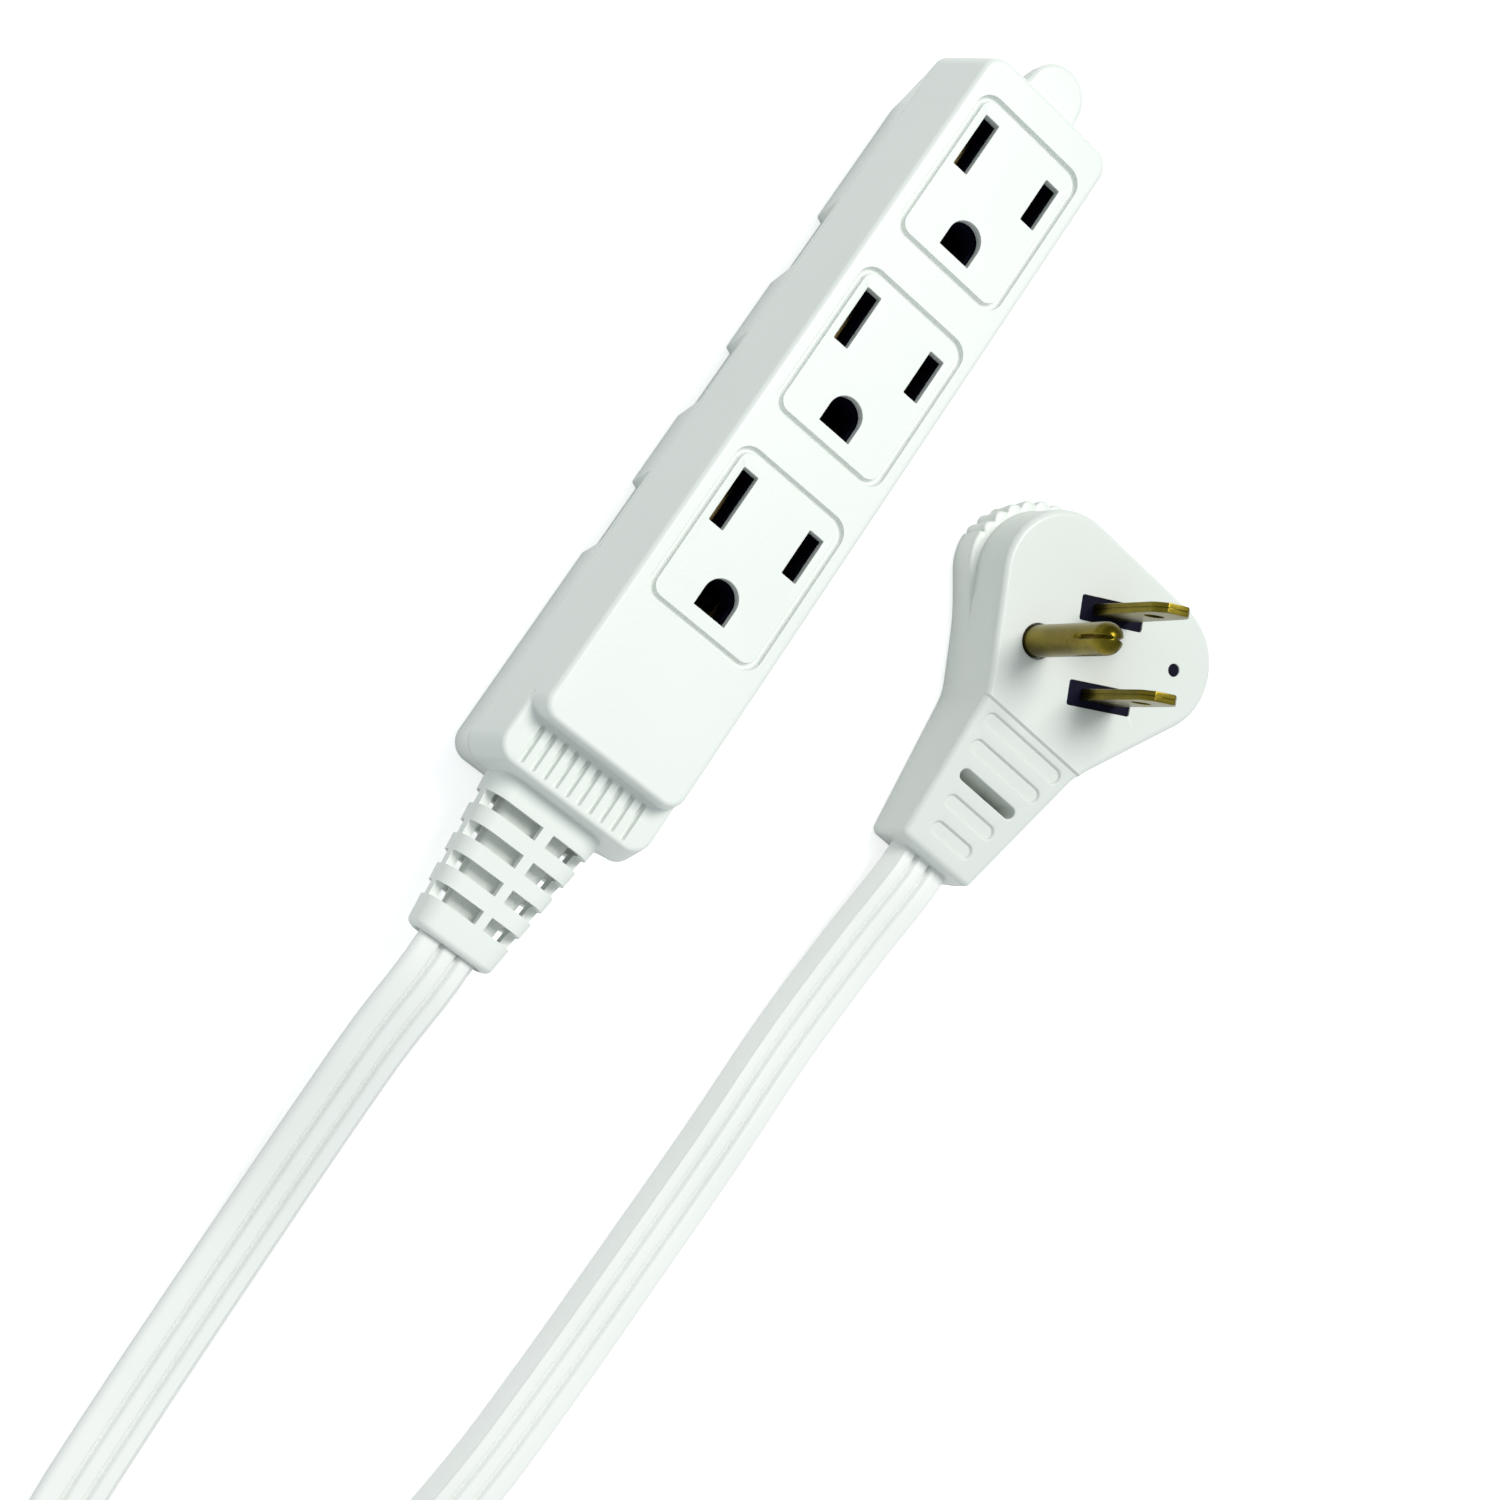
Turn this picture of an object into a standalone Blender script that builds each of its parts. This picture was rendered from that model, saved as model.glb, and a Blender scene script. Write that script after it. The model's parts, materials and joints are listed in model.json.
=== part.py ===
"""Three-outlet grounded extension cord: block, strain relief, flat cord, flat angled plug.

Sizes are in millimetres and become metres where a mesh is made.  The block lies face up on
z = 0 with its long axis along Y, the hanging tab at +Y and the cord leaving at -Y.  The origin
is under the middle of the block with its strain relief.
"""

import math

import bmesh
import bpy
from mathutils import Matrix, Vector

MM = 0.001
GAP = 0.3  # between pieces that touch or hold each other

# Block: driving dimensions
BODY_LENGTH = 123.5  # at the parting line
BODY_HEIGHT = 24.4
SPLIT_HEIGHT = 12.2  # parting line between the base and the cover
FACE_HALF_WIDTH = 11.75
SPLIT_HALF_WIDTH = 14.4
BASE_HALF_WIDTH = 12.5
FACE_EDGE_ROUND = 0.9
END_LEAN_FACE = 1.5  # how far the ends lean in from the parting line to the face
END_LEAN_FAR_BASE = 4.2
END_LEAN_NEAR_BASE = 1.0
CORNER_RADIUS = 3.0
WALL = 1.9
FACE_THICKNESS = 2.2
FLOOR_THICKNESS = 2.2
LEDGE_LENGTH = 6.6
LEDGE_DROP = 4.0
LEDGE_RIBS = 10
LEDGE_RIB_PITCH = 1.95

# Hanging tab
TAB_REACH = 5.7
TAB_RADIUS = 4.7
TAB_THICKNESS = 4.0
TAB_BELOW_FACE = 2.0

# Outlets
OUTLETS = 3
OUTLET_PITCH = 31.2
FIRST_OUTLET_FROM_END = 14.3
BLADE_SPACING = 12.7
BLADE_TO_GROUND = 11.9
NEUTRAL_SLOT_LENGTH = 8.8
LINE_SLOT_LENGTH = 7.2
SLOT_WIDTH = 2.5
GROUND_HOLE_RADIUS = 2.7
GROUND_HOLE_FLAT = 2.8  # from the pin's axis to the hole's flat side
FRAME_WIDTH = 18.6
FRAME_LENGTH = 24.4
FRAME_OFFSET = 5.1  # from the blade line to the middle of the groove
GROOVE_WIDTH = 0.9
GROOVE_DEPTH = 0.6
FRAME_RADIUS = 2.2

# Finger recesses in the base's sides
RECESSES = 3
RECESS_LENGTH = 12.2
RECESS_PITCH = 24.5
RECESS_DEPTH = 1.0
RECESS_MIDDLE_FROM_END = 58.2

# Strain relief
BOOT_LENGTH = 22.6
BOOT_ROOT_WIDTH = 17.6
BOOT_ROOT_HEIGHT = 9.6
BOOT_TIP_WIDTH = 12.6
BOOT_TIP_HEIGHT = 7.0
BOOT_ROWS = 4
BOOT_ROW_PITCH = 4.5
BOOT_FIRST_ROW = 3.7  # from the block's end to the middle of the first row
BOOT_WEB = 0.12  # how far the web between the slots sits off the middle, in widths
BOOT_WEB_HALF = 1.1
BOOT_SLOT_WIDTH = 2.0
BOOT_SLOT_DEPTH = 1.3
BOOT_FLANGE = 1.6  # how far the inner flange stands out past the neck
BOOT_FLANGE_THICKNESS = 1.6

# Cord
CORD_WIDTH = 9.8
CORD_THICKNESS = 3.9
CONDUCTOR_DIAMETER = 2.6
COIL_CENTRE = (54.0, -249.0)
COIL_INNER = 38.1  # centreline radius of the innermost turn
COIL_OUTER = 59.4
COIL_ENTRY = math.radians(162)  # where both ends of the cord join the coil
COIL_TURN_PITCH = 4.3

# Contacts
STRIP_THICKNESS = 0.8
STRIP_HEIGHT = 3.2  # underside of the strips above the floor
LEAF_THICKNESS = 0.5
CARRIER_PLATE = 3.2  # of the contact carrier, over the leaves
LEAF_CLEARANCE = 2.1
LEAF_TOP = BODY_HEIGHT - FACE_THICKNESS - GAP - CARRIER_PLATE - LEAF_CLEARANCE
BLADE_THICKNESS = 1.5
BLADE_WIDTH = 6.35
BLADE_REACH = 17.0
PRONG_HOLE = 3.0
PRONG_HOLE_DROP = 6.0  # from the blade's tip to the hole's middle
PIN_DIAMETER = 4.8
PIN_REACH = 20.5

# Plug, in its own frame: origin under the middle of the head's two round corners, +v to its tip
PLUG_PLACE = (55.9, 20.4)
PLUG_TURN = math.radians(-1.5)
PLUG_HEIGHT = 14.0
PLUG_CORNER_RADIUS = 9.95
PLUG_CORNER_OFFSET = 9.85
NECK_START = -21.2
NECK_END = -44.5
NECK_START_HALF = 10.05
NECK_END_HALF = 7.0
NECK_START_HEIGHT = 13.2
NECK_END_HEIGHT = 9.8
GRIP_HEIGHT = 5.8
GRIP_OFFSET = 2.0
GRIP_NOTCHES = 7
PRONG_CENTRE = (2.45, -4.45)  # middle of the two blades
PRONG_TURN = math.radians(28.0)
WINDOW_LENGTH = 10.1
WINDOW_WIDTH = 3.8
PLATE_THICKNESS = 1.3  # the overmould over the prong carrier
LEAD_DIAMETER = 2.2
CARRIER_THICKNESS = 4.0
NECK_POCKETS = ((7.75, 0.5), (6.9, 0.5), (5.5, 2.6), (4.75, 0.5), (3.85, 0.5))
NECK_POCKET_START = -23.4
NECK_POCKET_PITCH = 4.2
NECK_POCKET_WIDTH = 1.8

# Screws
SCREW_SHANK = 2.6
SCREW_HEAD = 5.6
SCREW_HEAD_HEIGHT = 1.8
SCREW_LENGTH = 15.0
SCREW_RECESS = 3.0  # depth of the counterbore under the base
BOSS_RADIUS = 2.9
FAR_SCREW_INSET = 8.4
NEAR_SCREW_INSET = 15.6
NEAR_SCREW_SPREAD = 16.4

# Places along Y that follow from the lengths
TOTAL_LENGTH = BOOT_LENGTH + BODY_LENGTH + TAB_REACH
BOOT_END = -TOTAL_LENGTH / 2
NEAR_END = BOOT_END + BOOT_LENGTH
FAR_END = NEAR_END + BODY_LENGTH
FACE_NEAR_END = NEAR_END + END_LEAN_FACE + LEDGE_LENGTH
OUTLET_LINES = [FAR_END - FIRST_OUTLET_FROM_END - i * OUTLET_PITCH for i in range(OUTLETS)]
FAR_SCREW = (0.0, FAR_END - FAR_SCREW_INSET)
SCREW_PLACES = [FAR_SCREW] + [
    (side * NEAR_SCREW_SPREAD / 2, NEAR_END + NEAR_SCREW_INSET) for side in (-1, 1)
]

for old in list(bpy.data.objects):
    bpy.data.objects.remove(old, do_unlink=True)


# ---------------------------------------------------------------- materials


def material(name, colour, roughness, metallic=0.0):
    """A Principled material."""
    made = bpy.data.materials.new(name)
    made.use_nodes = True
    shader = made.node_tree.nodes["Principled BSDF"]
    shader.inputs["Base Color"].default_value = (*colour, 1.0)
    shader.inputs["Roughness"].default_value = roughness
    shader.inputs["Metallic"].default_value = metallic
    return made


WHITE = material("white_abs", (0.86, 0.88, 0.86), 0.38)
VINYL = material("white_vinyl", (0.84, 0.86, 0.84), 0.45)
BLACK = material("black_insulator", (0.02, 0.02, 0.035), 0.4)
BRASS = material("brass", (0.62, 0.47, 0.20), 0.28, 1.0)
STEEL = material("zinc_steel", (0.62, 0.62, 0.60), 0.35, 1.0)
GREEN = material("green_insulation", (0.05, 0.32, 0.10), 0.5)
NEUTRAL_WHITE = material("neutral_insulation", (0.80, 0.80, 0.78), 0.5)
LINE_BLACK = material("line_insulation", (0.03, 0.03, 0.03), 0.5)


# ---------------------------------------------------------------- outlines and solids


def arc(centre, radius, start, end, steps=6):
    """Points on an arc, angles in degrees, both ends included."""
    angles = [math.radians(start + (end - start) * i / steps) for i in range(steps + 1)]
    return [(centre[0] + radius * math.cos(a), centre[1] + radius * math.sin(a)) for a in angles]


def rounded_rectangle(x0, x1, y0, y1, radius, steps=4):
    """A rounded rectangle, counterclockwise from its lower right corner."""
    return (
        arc((x1 - radius, y0 + radius), radius, -90, 0, steps)
        + arc((x1 - radius, y1 - radius), radius, 0, 90, steps)
        + arc((x0 + radius, y1 - radius), radius, 90, 180, steps)
        + arc((x0 + radius, y0 + radius), radius, 180, 270, steps)
    )


def pill(length, width, steps=5):
    """A slot outline along X with round ends."""
    half, radius = (length - width) / 2, width / 2
    return arc((half, 0), radius, -90, 90, steps) + arc((-half, 0), radius, 90, 270, steps)


def moved(outline, dx, dy):
    return [(x + dx, y + dy) for x, y in outline]


def at_height(outline, z):
    return [(x, y, z) for x, y in outline]


def add_loft(bm, rings, closed=False):
    """Skin rings of equal length; cap both ends, or join the last ring to the first."""
    made = [[bm.verts.new(Vector(p) * MM) for p in ring] for ring in rings]
    pairs = list(zip(made, made[1:]))
    if closed:
        pairs.append((made[-1], made[0]))
    count = len(rings[0])
    for low, high in pairs:
        for i in range(count):
            j = (i + 1) % count
            bm.faces.new((low[i], low[j], high[j], high[i]))
    if not closed:
        bm.faces.new(list(reversed(made[0])))
        bm.faces.new(made[-1])


def add_prism(bm, outline, low, high):
    add_loft(bm, [at_height(outline, low), at_height(outline, high)])


def add_box(bm, x0, x1, y0, y1, z0, z1):
    add_prism(bm, [(x0, y0), (x1, y0), (x1, y1), (x0, y1)], z0, z1)


def add_frame(bm, outer, inner, low, high):
    """A closed band between two outlines."""
    rings = [at_height(outer, low), at_height(outer, high), at_height(inner, high), at_height(inner, low)]
    add_loft(bm, rings, closed=True)


def make(name, bm, look=None, place=None):
    """Turn the bmesh into an object; without a material it is a cutter or an operand."""
    bmesh.ops.remove_doubles(bm, verts=bm.verts, dist=1e-7)
    bmesh.ops.recalc_face_normals(bm, faces=bm.faces)
    mesh = bpy.data.meshes.new(name)
    bm.to_mesh(mesh)
    bm.free()
    made = bpy.data.objects.new(name, mesh)
    bpy.context.collection.objects.link(made)
    if look:
        mesh.materials.append(look)
        mesh.shade_smooth()
        mesh.set_sharp_from_angle(angle=math.radians(35))
    else:
        made.hide_render = True
        made.display_type = "WIRE"
    if place is not None:
        made.matrix_world = place
    return made


def combine(target, other, operation):
    """Leave an exact Boolean on the target."""
    step = target.modifiers.new(f"{operation.lower()}_{other.name}", "BOOLEAN")
    step.operation = operation
    step.solver = "EXACT"
    step.object = other


# ---------------------------------------------------------------- block housing


def body_outline(z, inset=0.0):
    """The block's outline at a height, moved in by inset."""
    if z >= SPLIT_HEIGHT:
        k = (z - SPLIT_HEIGHT) / (BODY_HEIGHT - SPLIT_HEIGHT)
        half = SPLIT_HALF_WIDTH + k * (FACE_HALF_WIDTH - SPLIT_HALF_WIDTH)
        far, near = FAR_END - k * END_LEAN_FACE, NEAR_END + k * END_LEAN_FACE
    else:
        k = 1 - z / SPLIT_HEIGHT
        half = SPLIT_HALF_WIDTH + k * (BASE_HALF_WIDTH - SPLIT_HALF_WIDTH)
        far, near = FAR_END - k * END_LEAN_FAR_BASE, NEAR_END + k * END_LEAN_NEAR_BASE
    return rounded_rectangle(
        inset - half, half - inset, near + inset, far - inset, max(CORNER_RADIUS - inset, 0.6)
    )


def make_top_cover():
    """The cover with the outlet face, the stepped ledge, the tab and the screw bosses."""
    low, edge = SPLIT_HEIGHT + GAP / 2, FACE_EDGE_ROUND
    ceiling, ledge = BODY_HEIGHT - FACE_THICKNESS, BODY_HEIGHT - LEDGE_DROP
    bm = bmesh.new()
    rounds = [
        (BODY_HEIGHT - edge * (1 - math.sin(a)), edge * (1 - math.cos(a))) for a in (0, 0.6, 1.1, math.pi / 2)
    ]
    add_loft(bm, [at_height(body_outline(low), low)] + [at_height(body_outline(z, i), z) for z, i in rounds])
    cover = make("top_cover", bm, WHITE)

    bm = bmesh.new()
    outline = [(-TAB_RADIUS, FAR_END - 3.2), (TAB_RADIUS, FAR_END - 3.2)]
    outline += arc((0, FAR_END + TAB_REACH - TAB_RADIUS), TAB_RADIUS, 0, 180, 14)
    tab_top = BODY_HEIGHT - TAB_BELOW_FACE
    add_prism(bm, outline, tab_top - TAB_THICKNESS, tab_top)
    combine(cover, make("tab_solid", bm), "UNION")

    bm = bmesh.new()
    start = low - 2
    add_loft(bm, [at_height(body_outline(z, WALL), z) for z in (start, SPLIT_HEIGHT, ceiling)])
    combine(cover, make("cover_cavity", bm), "DIFFERENCE")

    bm = bmesh.new()  # solid material under the ledge, as thick as the face
    under = body_outline(ledge, WALL - 0.4)
    near, half = min(y for _, y in under), max(x for x, _ in under)
    roof = ledge - FACE_THICKNESS
    add_box(bm, -half, half, near, FACE_NEAR_END + WALL, roof, ceiling + 0.4)
    for x, y in SCREW_PLACES:
        add_prism(bm, arc((x, y), BOSS_RADIUS, 0, 337.5, 15), low + 0.6, ceiling + 0.4)
    combine(cover, make("cover_bosses", bm), "UNION")

    bm = bmesh.new()
    corner = 2.5
    side = FACE_HALF_WIDTH + 0.5
    step = [(-30, NEAR_END - 10), (30, NEAR_END - 10), (30, FACE_NEAR_END + corner)]
    step += arc((side - corner, FACE_NEAR_END + corner), corner, 0, -90, 4)
    step += arc((corner - side, FACE_NEAR_END + corner), corner, 270, 180, 4)
    step += [(-30, FACE_NEAR_END + corner)]
    add_prism(bm, step, ledge, BODY_HEIGHT + 5)
    for x, y in SCREW_PLACES:
        add_prism(bm, arc((x, y), SCREW_SHANK / 2 + GAP, 0, 330, 11), 0, SCREW_LENGTH + 2.5)
    combine(cover, make("step_and_pilot_holes", bm), "DIFFERENCE")

    bm = bmesh.new()
    for y in OUTLET_LINES:
        for x, length in ((-BLADE_SPACING / 2, NEUTRAL_SLOT_LENGTH), (BLADE_SPACING / 2, LINE_SLOT_LENGTH)):
            w, l = SLOT_WIDTH / 2, length / 2
            add_box(bm, x - w, x + w, y - l, y + l, ceiling - 1, BODY_HEIGHT + 1)
        add_prism(bm, ground_hole(y), ceiling - 1, BODY_HEIGHT + 1)
        middle = y - FRAME_OFFSET
        outer = frame_outline(middle, GROOVE_WIDTH / 2)
        inner = frame_outline(middle, -GROOVE_WIDTH / 2)
        add_frame(bm, outer, inner, BODY_HEIGHT - GROOVE_DEPTH, BODY_HEIGHT + 1)
    for i in range(LEDGE_RIBS):
        x = (i - (LEDGE_RIBS - 1) / 2) * LEDGE_RIB_PITCH
        add_box(bm, x - 0.25, x + 0.25, NEAR_END - 3, FACE_NEAR_END - GAP, ledge - 0.5, ledge + 1)
    combine(cover, make("outlet_openings", bm), "DIFFERENCE")
    combine(cover, boot_opening, "DIFFERENCE")


def ground_hole(y, grow=0.0):
    """The ground pin's D: round towards the blades, flat towards the cord."""
    centre, radius = (0, y - BLADE_TO_GROUND), GROUND_HOLE_RADIUS + grow
    flat = centre[1] - GROUND_HOLE_FLAT - grow
    return arc(centre, radius, 0, 180, 10) + [(-radius, flat), (radius, flat)]


def frame_outline(middle, grow):
    half_x, half_y = FRAME_WIDTH / 2 + grow, FRAME_LENGTH / 2 + grow
    return rounded_rectangle(-half_x, half_x, middle - half_y, middle + half_y, FRAME_RADIUS + grow, 3)


def make_base_shell():
    """The tray below the parting line, with side recesses and counterbored screw posts."""
    high = SPLIT_HEIGHT - GAP / 2
    bm = bmesh.new()
    add_loft(bm, [at_height(body_outline(z, i), z) for z, i in ((0, 0.6), (0.6, 0), (high, 0))])
    base = make("base_shell", bm, WHITE)

    bm = bmesh.new()
    rings = [at_height(body_outline(z, WALL + RECESS_DEPTH), z) for z in (FLOOR_THICKNESS, SPLIT_HEIGHT + 3)]
    add_loft(bm, rings)
    combine(base, make("base_cavity", bm), "DIFFERENCE")

    bm = bmesh.new()
    for x, y in SCREW_PLACES:
        post = arc((x, y), SCREW_HEAD / 2 + 1.0, 0, 337.5, 15)
        add_prism(bm, post, FLOOR_THICKNESS - 0.5, SCREW_RECESS + 2.2)
    combine(base, make("base_posts", bm), "UNION")

    bm = bmesh.new()
    for x, y in SCREW_PLACES:
        add_prism(bm, arc((x, y), SCREW_HEAD / 2 + GAP, 0, 337.5, 15), -1, SCREW_RECESS)
    for i in range(RECESSES):
        y = FAR_END - RECESS_MIDDLE_FROM_END + (1 - i) * RECESS_PITCH
        for side in (-1, 1):
            inner = [BASE_HALF_WIDTH - RECESS_DEPTH, SPLIT_HALF_WIDTH - RECESS_DEPTH]
            top = SPLIT_HEIGHT - 1.0
            rings = []
            for x, z in ((inner[0] - 0.09, -1.0), (inner[1] - 0.09, top)):
                shape = rounded_rectangle(x, x + 6, y - RECESS_LENGTH / 2, y + RECESS_LENGTH / 2, 0.9, 3)
                rings.append([(side * px, py, z) for px, py in shape])
            add_loft(bm, rings)
    combine(base, make("recesses_and_counterbores", bm), "DIFFERENCE")

    bm = bmesh.new()
    for x, y in SCREW_PLACES:
        add_prism(bm, arc((x, y), SCREW_SHANK / 2 + GAP, 0, 330, 11), -2, SCREW_RECESS + 6)
    combine(base, make("screw_holes", bm), "DIFFERENCE")
    combine(base, boot_opening, "DIFFERENCE")


def boot_section(width, height, y, steps=3):
    """A rounded rectangle in the XZ plane about the cord's axis."""
    radius = min(3.0, height / 2 - 0.4)
    shape = rounded_rectangle(-width / 2, width / 2, -height / 2, height / 2, radius, steps)
    return [(x, y, SPLIT_HEIGHT + z) for x, z in shape]


def make_boot_opening():
    """The mouth in the near wall that the strain relief's neck fills."""
    bm = bmesh.new()
    width, height = BOOT_ROOT_WIDTH - 2 + 2 * GAP, BOOT_ROOT_HEIGHT - 2 + 2 * GAP
    add_loft(bm, [boot_section(width, height, y) for y in (NEAR_END - 4, NEAR_END + 6)])
    return make("boot_opening", bm)


def make_boot():
    """The strain relief: a tapered sleeve with four slotted rows, a neck and an inner flange."""
    wall_in = NEAR_END + WALL + 1.8
    collar = NEAR_END - GAP
    root, tip = (BOOT_ROOT_WIDTH, BOOT_ROOT_HEIGHT), (BOOT_TIP_WIDTH, BOOT_TIP_HEIGHT)
    neck = (BOOT_ROOT_WIDTH - 2, BOOT_ROOT_HEIGHT - 2)
    flange = (neck[0] + 2 * BOOT_FLANGE, neck[1] + 2 * BOOT_FLANGE)
    stations = [
        (tip[0] - 1.4, tip[1] - 1.4, BOOT_END),
        (tip[0], tip[1], BOOT_END + 0.8),
        (root[0], root[1], collar - 0.8),
        (root[0] - 1.0, root[1] - 1.0, collar),
        (neck[0], neck[1], collar),
        (neck[0], neck[1], wall_in),
        (flange[0], flange[1], wall_in),
        (flange[0], flange[1], wall_in + BOOT_FLANGE_THICKNESS),
    ]
    bm = bmesh.new()
    add_loft(bm, [boot_section(*s) for s in stations])
    boot = make("cord_boot", bm, VINYL)

    bm = bmesh.new()
    for i in range(BOOT_ROWS):
        y = NEAR_END - BOOT_FIRST_ROW - i * BOOT_ROW_PITCH
        k = (y - BOOT_END) / BOOT_LENGTH
        width = tip[0] + k * (root[0] - tip[0])
        height = tip[1] + k * (root[1] - tip[1])
        web = BOOT_WEB * width
        for turn in (1, -1):
            low = height / 2 - BOOT_SLOT_DEPTH
            y0, y1 = y - BOOT_SLOT_WIDTH / 2, y + BOOT_SLOT_WIDTH / 2
            runs = ((-width, web - BOOT_WEB_HALF), (web + BOOT_WEB_HALF, width))
            for x0, x1 in runs:
                xs, zs = sorted((turn * x0, turn * x1)), sorted((turn * low, turn * 9))
                add_box(bm, *xs, y0, y1, SPLIT_HEIGHT + zs[0], SPLIT_HEIGHT + zs[1])
    combine(boot, make("boot_slots", bm), "DIFFERENCE")
    return wall_in + BOOT_FLANGE_THICKNESS


# ---------------------------------------------------------------- contacts and screws


def make_contact_carrier():
    """The insulator that separates and guides the contacts, open at the bottom."""
    top, skirt = BODY_HEIGHT - FACE_THICKNESS - GAP, SPLIT_HEIGHT - 5.4
    far, near = OUTLET_LINES[0] + 5.6, OUTLET_LINES[-1] - BLADE_TO_GROUND - 6.2
    half, wall, plate = 9.9, 1.0, CARRIER_PLATE
    bm = bmesh.new()
    add_box(bm, -half, half, near, far, skirt, top)
    carrier = make("contact_carrier", bm, BLACK)
    bm = bmesh.new()
    notch_half, notch_near = BOSS_RADIUS + GAP, FAR_SCREW[1] - BOSS_RADIUS - GAP
    lanes = (
        (-half + wall, -3.9, far - wall),
        (-3.1, 3.1, notch_near - wall),
        (3.9, half - wall, far - wall),
    )
    for x0, x1, end in lanes:
        add_box(bm, x0, x1, near - 1, end, skirt - 1, top - plate)
    combine(carrier, make("carrier_lanes", bm), "DIFFERENCE")
    bm = bmesh.new()
    add_box(bm, -notch_half, notch_half, notch_near, far + 1, skirt - 1, top + 1)
    for y in OUTLET_LINES:
        for x, length in ((-BLADE_SPACING / 2, NEUTRAL_SLOT_LENGTH), (BLADE_SPACING / 2, LINE_SLOT_LENGTH)):
            w, l = SLOT_WIDTH / 2 + 0.1, length / 2 + 0.1
            add_box(bm, x - w, x + w, y - l, y + l, top - plate - 1, top + 1)
        add_prism(bm, ground_hole(y, -0.1), top - plate - 1, top + 1)
    combine(carrier, make("carrier_openings", bm), "DIFFERENCE")


def fork(y, length, grip, foot):
    """A pair of spring leaves on a foot, as one closed section pushed along Y."""
    t, base, waist = LEAF_THICKNESS, STRIP_HEIGHT + 0.2, LEAF_TOP - 2.6
    right = [
        (foot, base),
        (foot, base + STRIP_THICKNESS),
        (grip + t, waist),
        (grip + 0.5 + t, LEAF_TOP),
        (grip + 0.5, LEAF_TOP),
        (grip, waist),
        (foot - t, base + STRIP_THICKNESS),
    ]
    outline = right + [(-x, z) for x, z in reversed(right)]
    return [[(x, y + s * length / 2, z) for x, z in outline] for s in (-1, 1)]


def make_bus(name, x, lines, length, grip, foot):
    """A contact strip with one fork under each outlet and a tail towards the cord."""
    bm = bmesh.new()
    near = OUTLET_LINES[-1] - BLADE_TO_GROUND - 4.0
    far = lines[0] + length / 2 + 0.2
    z0, z1 = STRIP_HEIGHT, STRIP_HEIGHT + STRIP_THICKNESS
    place = Matrix.Translation((x * MM, 0, 0))
    add_box(bm, -foot, foot, near, far, z0, z1)
    bus = make(name, bm, BRASS, place)
    bm = bmesh.new()
    for y in lines:
        add_loft(bm, fork(y, length, grip, foot))
    combine(bus, make(f"{name}_forks", bm, place=place), "UNION")
    return near


def make_tube(name, points, diameter, look, resolution=2):
    """A round tube along the points, in millimetres."""
    curve = bpy.data.curves.new(name, "CURVE")
    curve.dimensions = "3D"
    curve.bevel_depth = diameter / 2 * MM
    curve.bevel_resolution = resolution
    curve.use_fill_caps = True
    line = curve.splines.new("POLY")
    line.points.add(len(points) - 1)
    for spot, p in zip(line.points, points):
        spot.co = (*(Vector(p) * MM), 1)
    curve.materials.append(look)
    made = bpy.data.objects.new(name, curve)
    bpy.context.collection.objects.link(made)
    return made


def smooth(route, spacing):
    """Points at a spacing along the Catmull-Rom curve through the route."""
    spots = [Vector(p) for p in route]
    spots = [2 * spots[0] - spots[1]] + spots + [2 * spots[-1] - spots[-2]]
    dense = []
    for a, b, c, d in zip(spots, spots[1:], spots[2:], spots[3:]):
        for i in range(24):
            t = i / 24
            bow = 2 * a - 5 * b + 4 * c - d
            dense.append(0.5 * (2 * b + (c - a) * t + bow * t**2 + (3 * b - a - 3 * c + d) * t**3))
    dense.append(spots[-2])
    length = sum((q - p).length for p, q in zip(dense, dense[1:]))
    count = max(2, round(length / spacing))
    points, done, goal = [dense[0]], 0.0, length / count
    for p, q in zip(dense, dense[1:]):
        run = (q - p).length
        while run > 0 and done + run >= goal * len(points) and len(points) < count:
            points.append(p.lerp(q, (goal * len(points) - done) / run))
        done += run
    return points + [dense[-1]]


def make_wiring(boot_inner, strips_end):
    """Three insulated leads from the cord to crimped terminals on the strips."""
    barrel, length = 3.2, 6.0
    height = STRIP_HEIGHT + barrel / 2
    for name, x0, x1, look in (
        ("neutral_lead", -2.9, -BLADE_SPACING / 2, NEUTRAL_WHITE),
        ("ground_lead", 0.0, 0.0, GREEN),
        ("line_lead", 2.9, BLADE_SPACING / 2, LINE_BLACK),
    ):
        y1 = strips_end - GAP
        terminal = name.replace("lead", "terminal")
        make_tube(terminal, [(x1, y1, height), (x1, y1 - length, height)], barrel, BRASS, 3)
        y0 = y1 - length - GAP
        route = [
            (x0, boot_inner + GAP, SPLIT_HEIGHT),
            (x0, boot_inner + 3, SPLIT_HEIGHT),
            (x0, boot_inner + 9, (SPLIT_HEIGHT + height) / 2),
            (x0, y0 - 6.0, height + 1.2),
            (x1, y0 - 2.4, height),
            (x1, y0, height),
        ]
        make_tube(name, smooth(route, 3.0), CONDUCTOR_DIAMETER, look)


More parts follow.
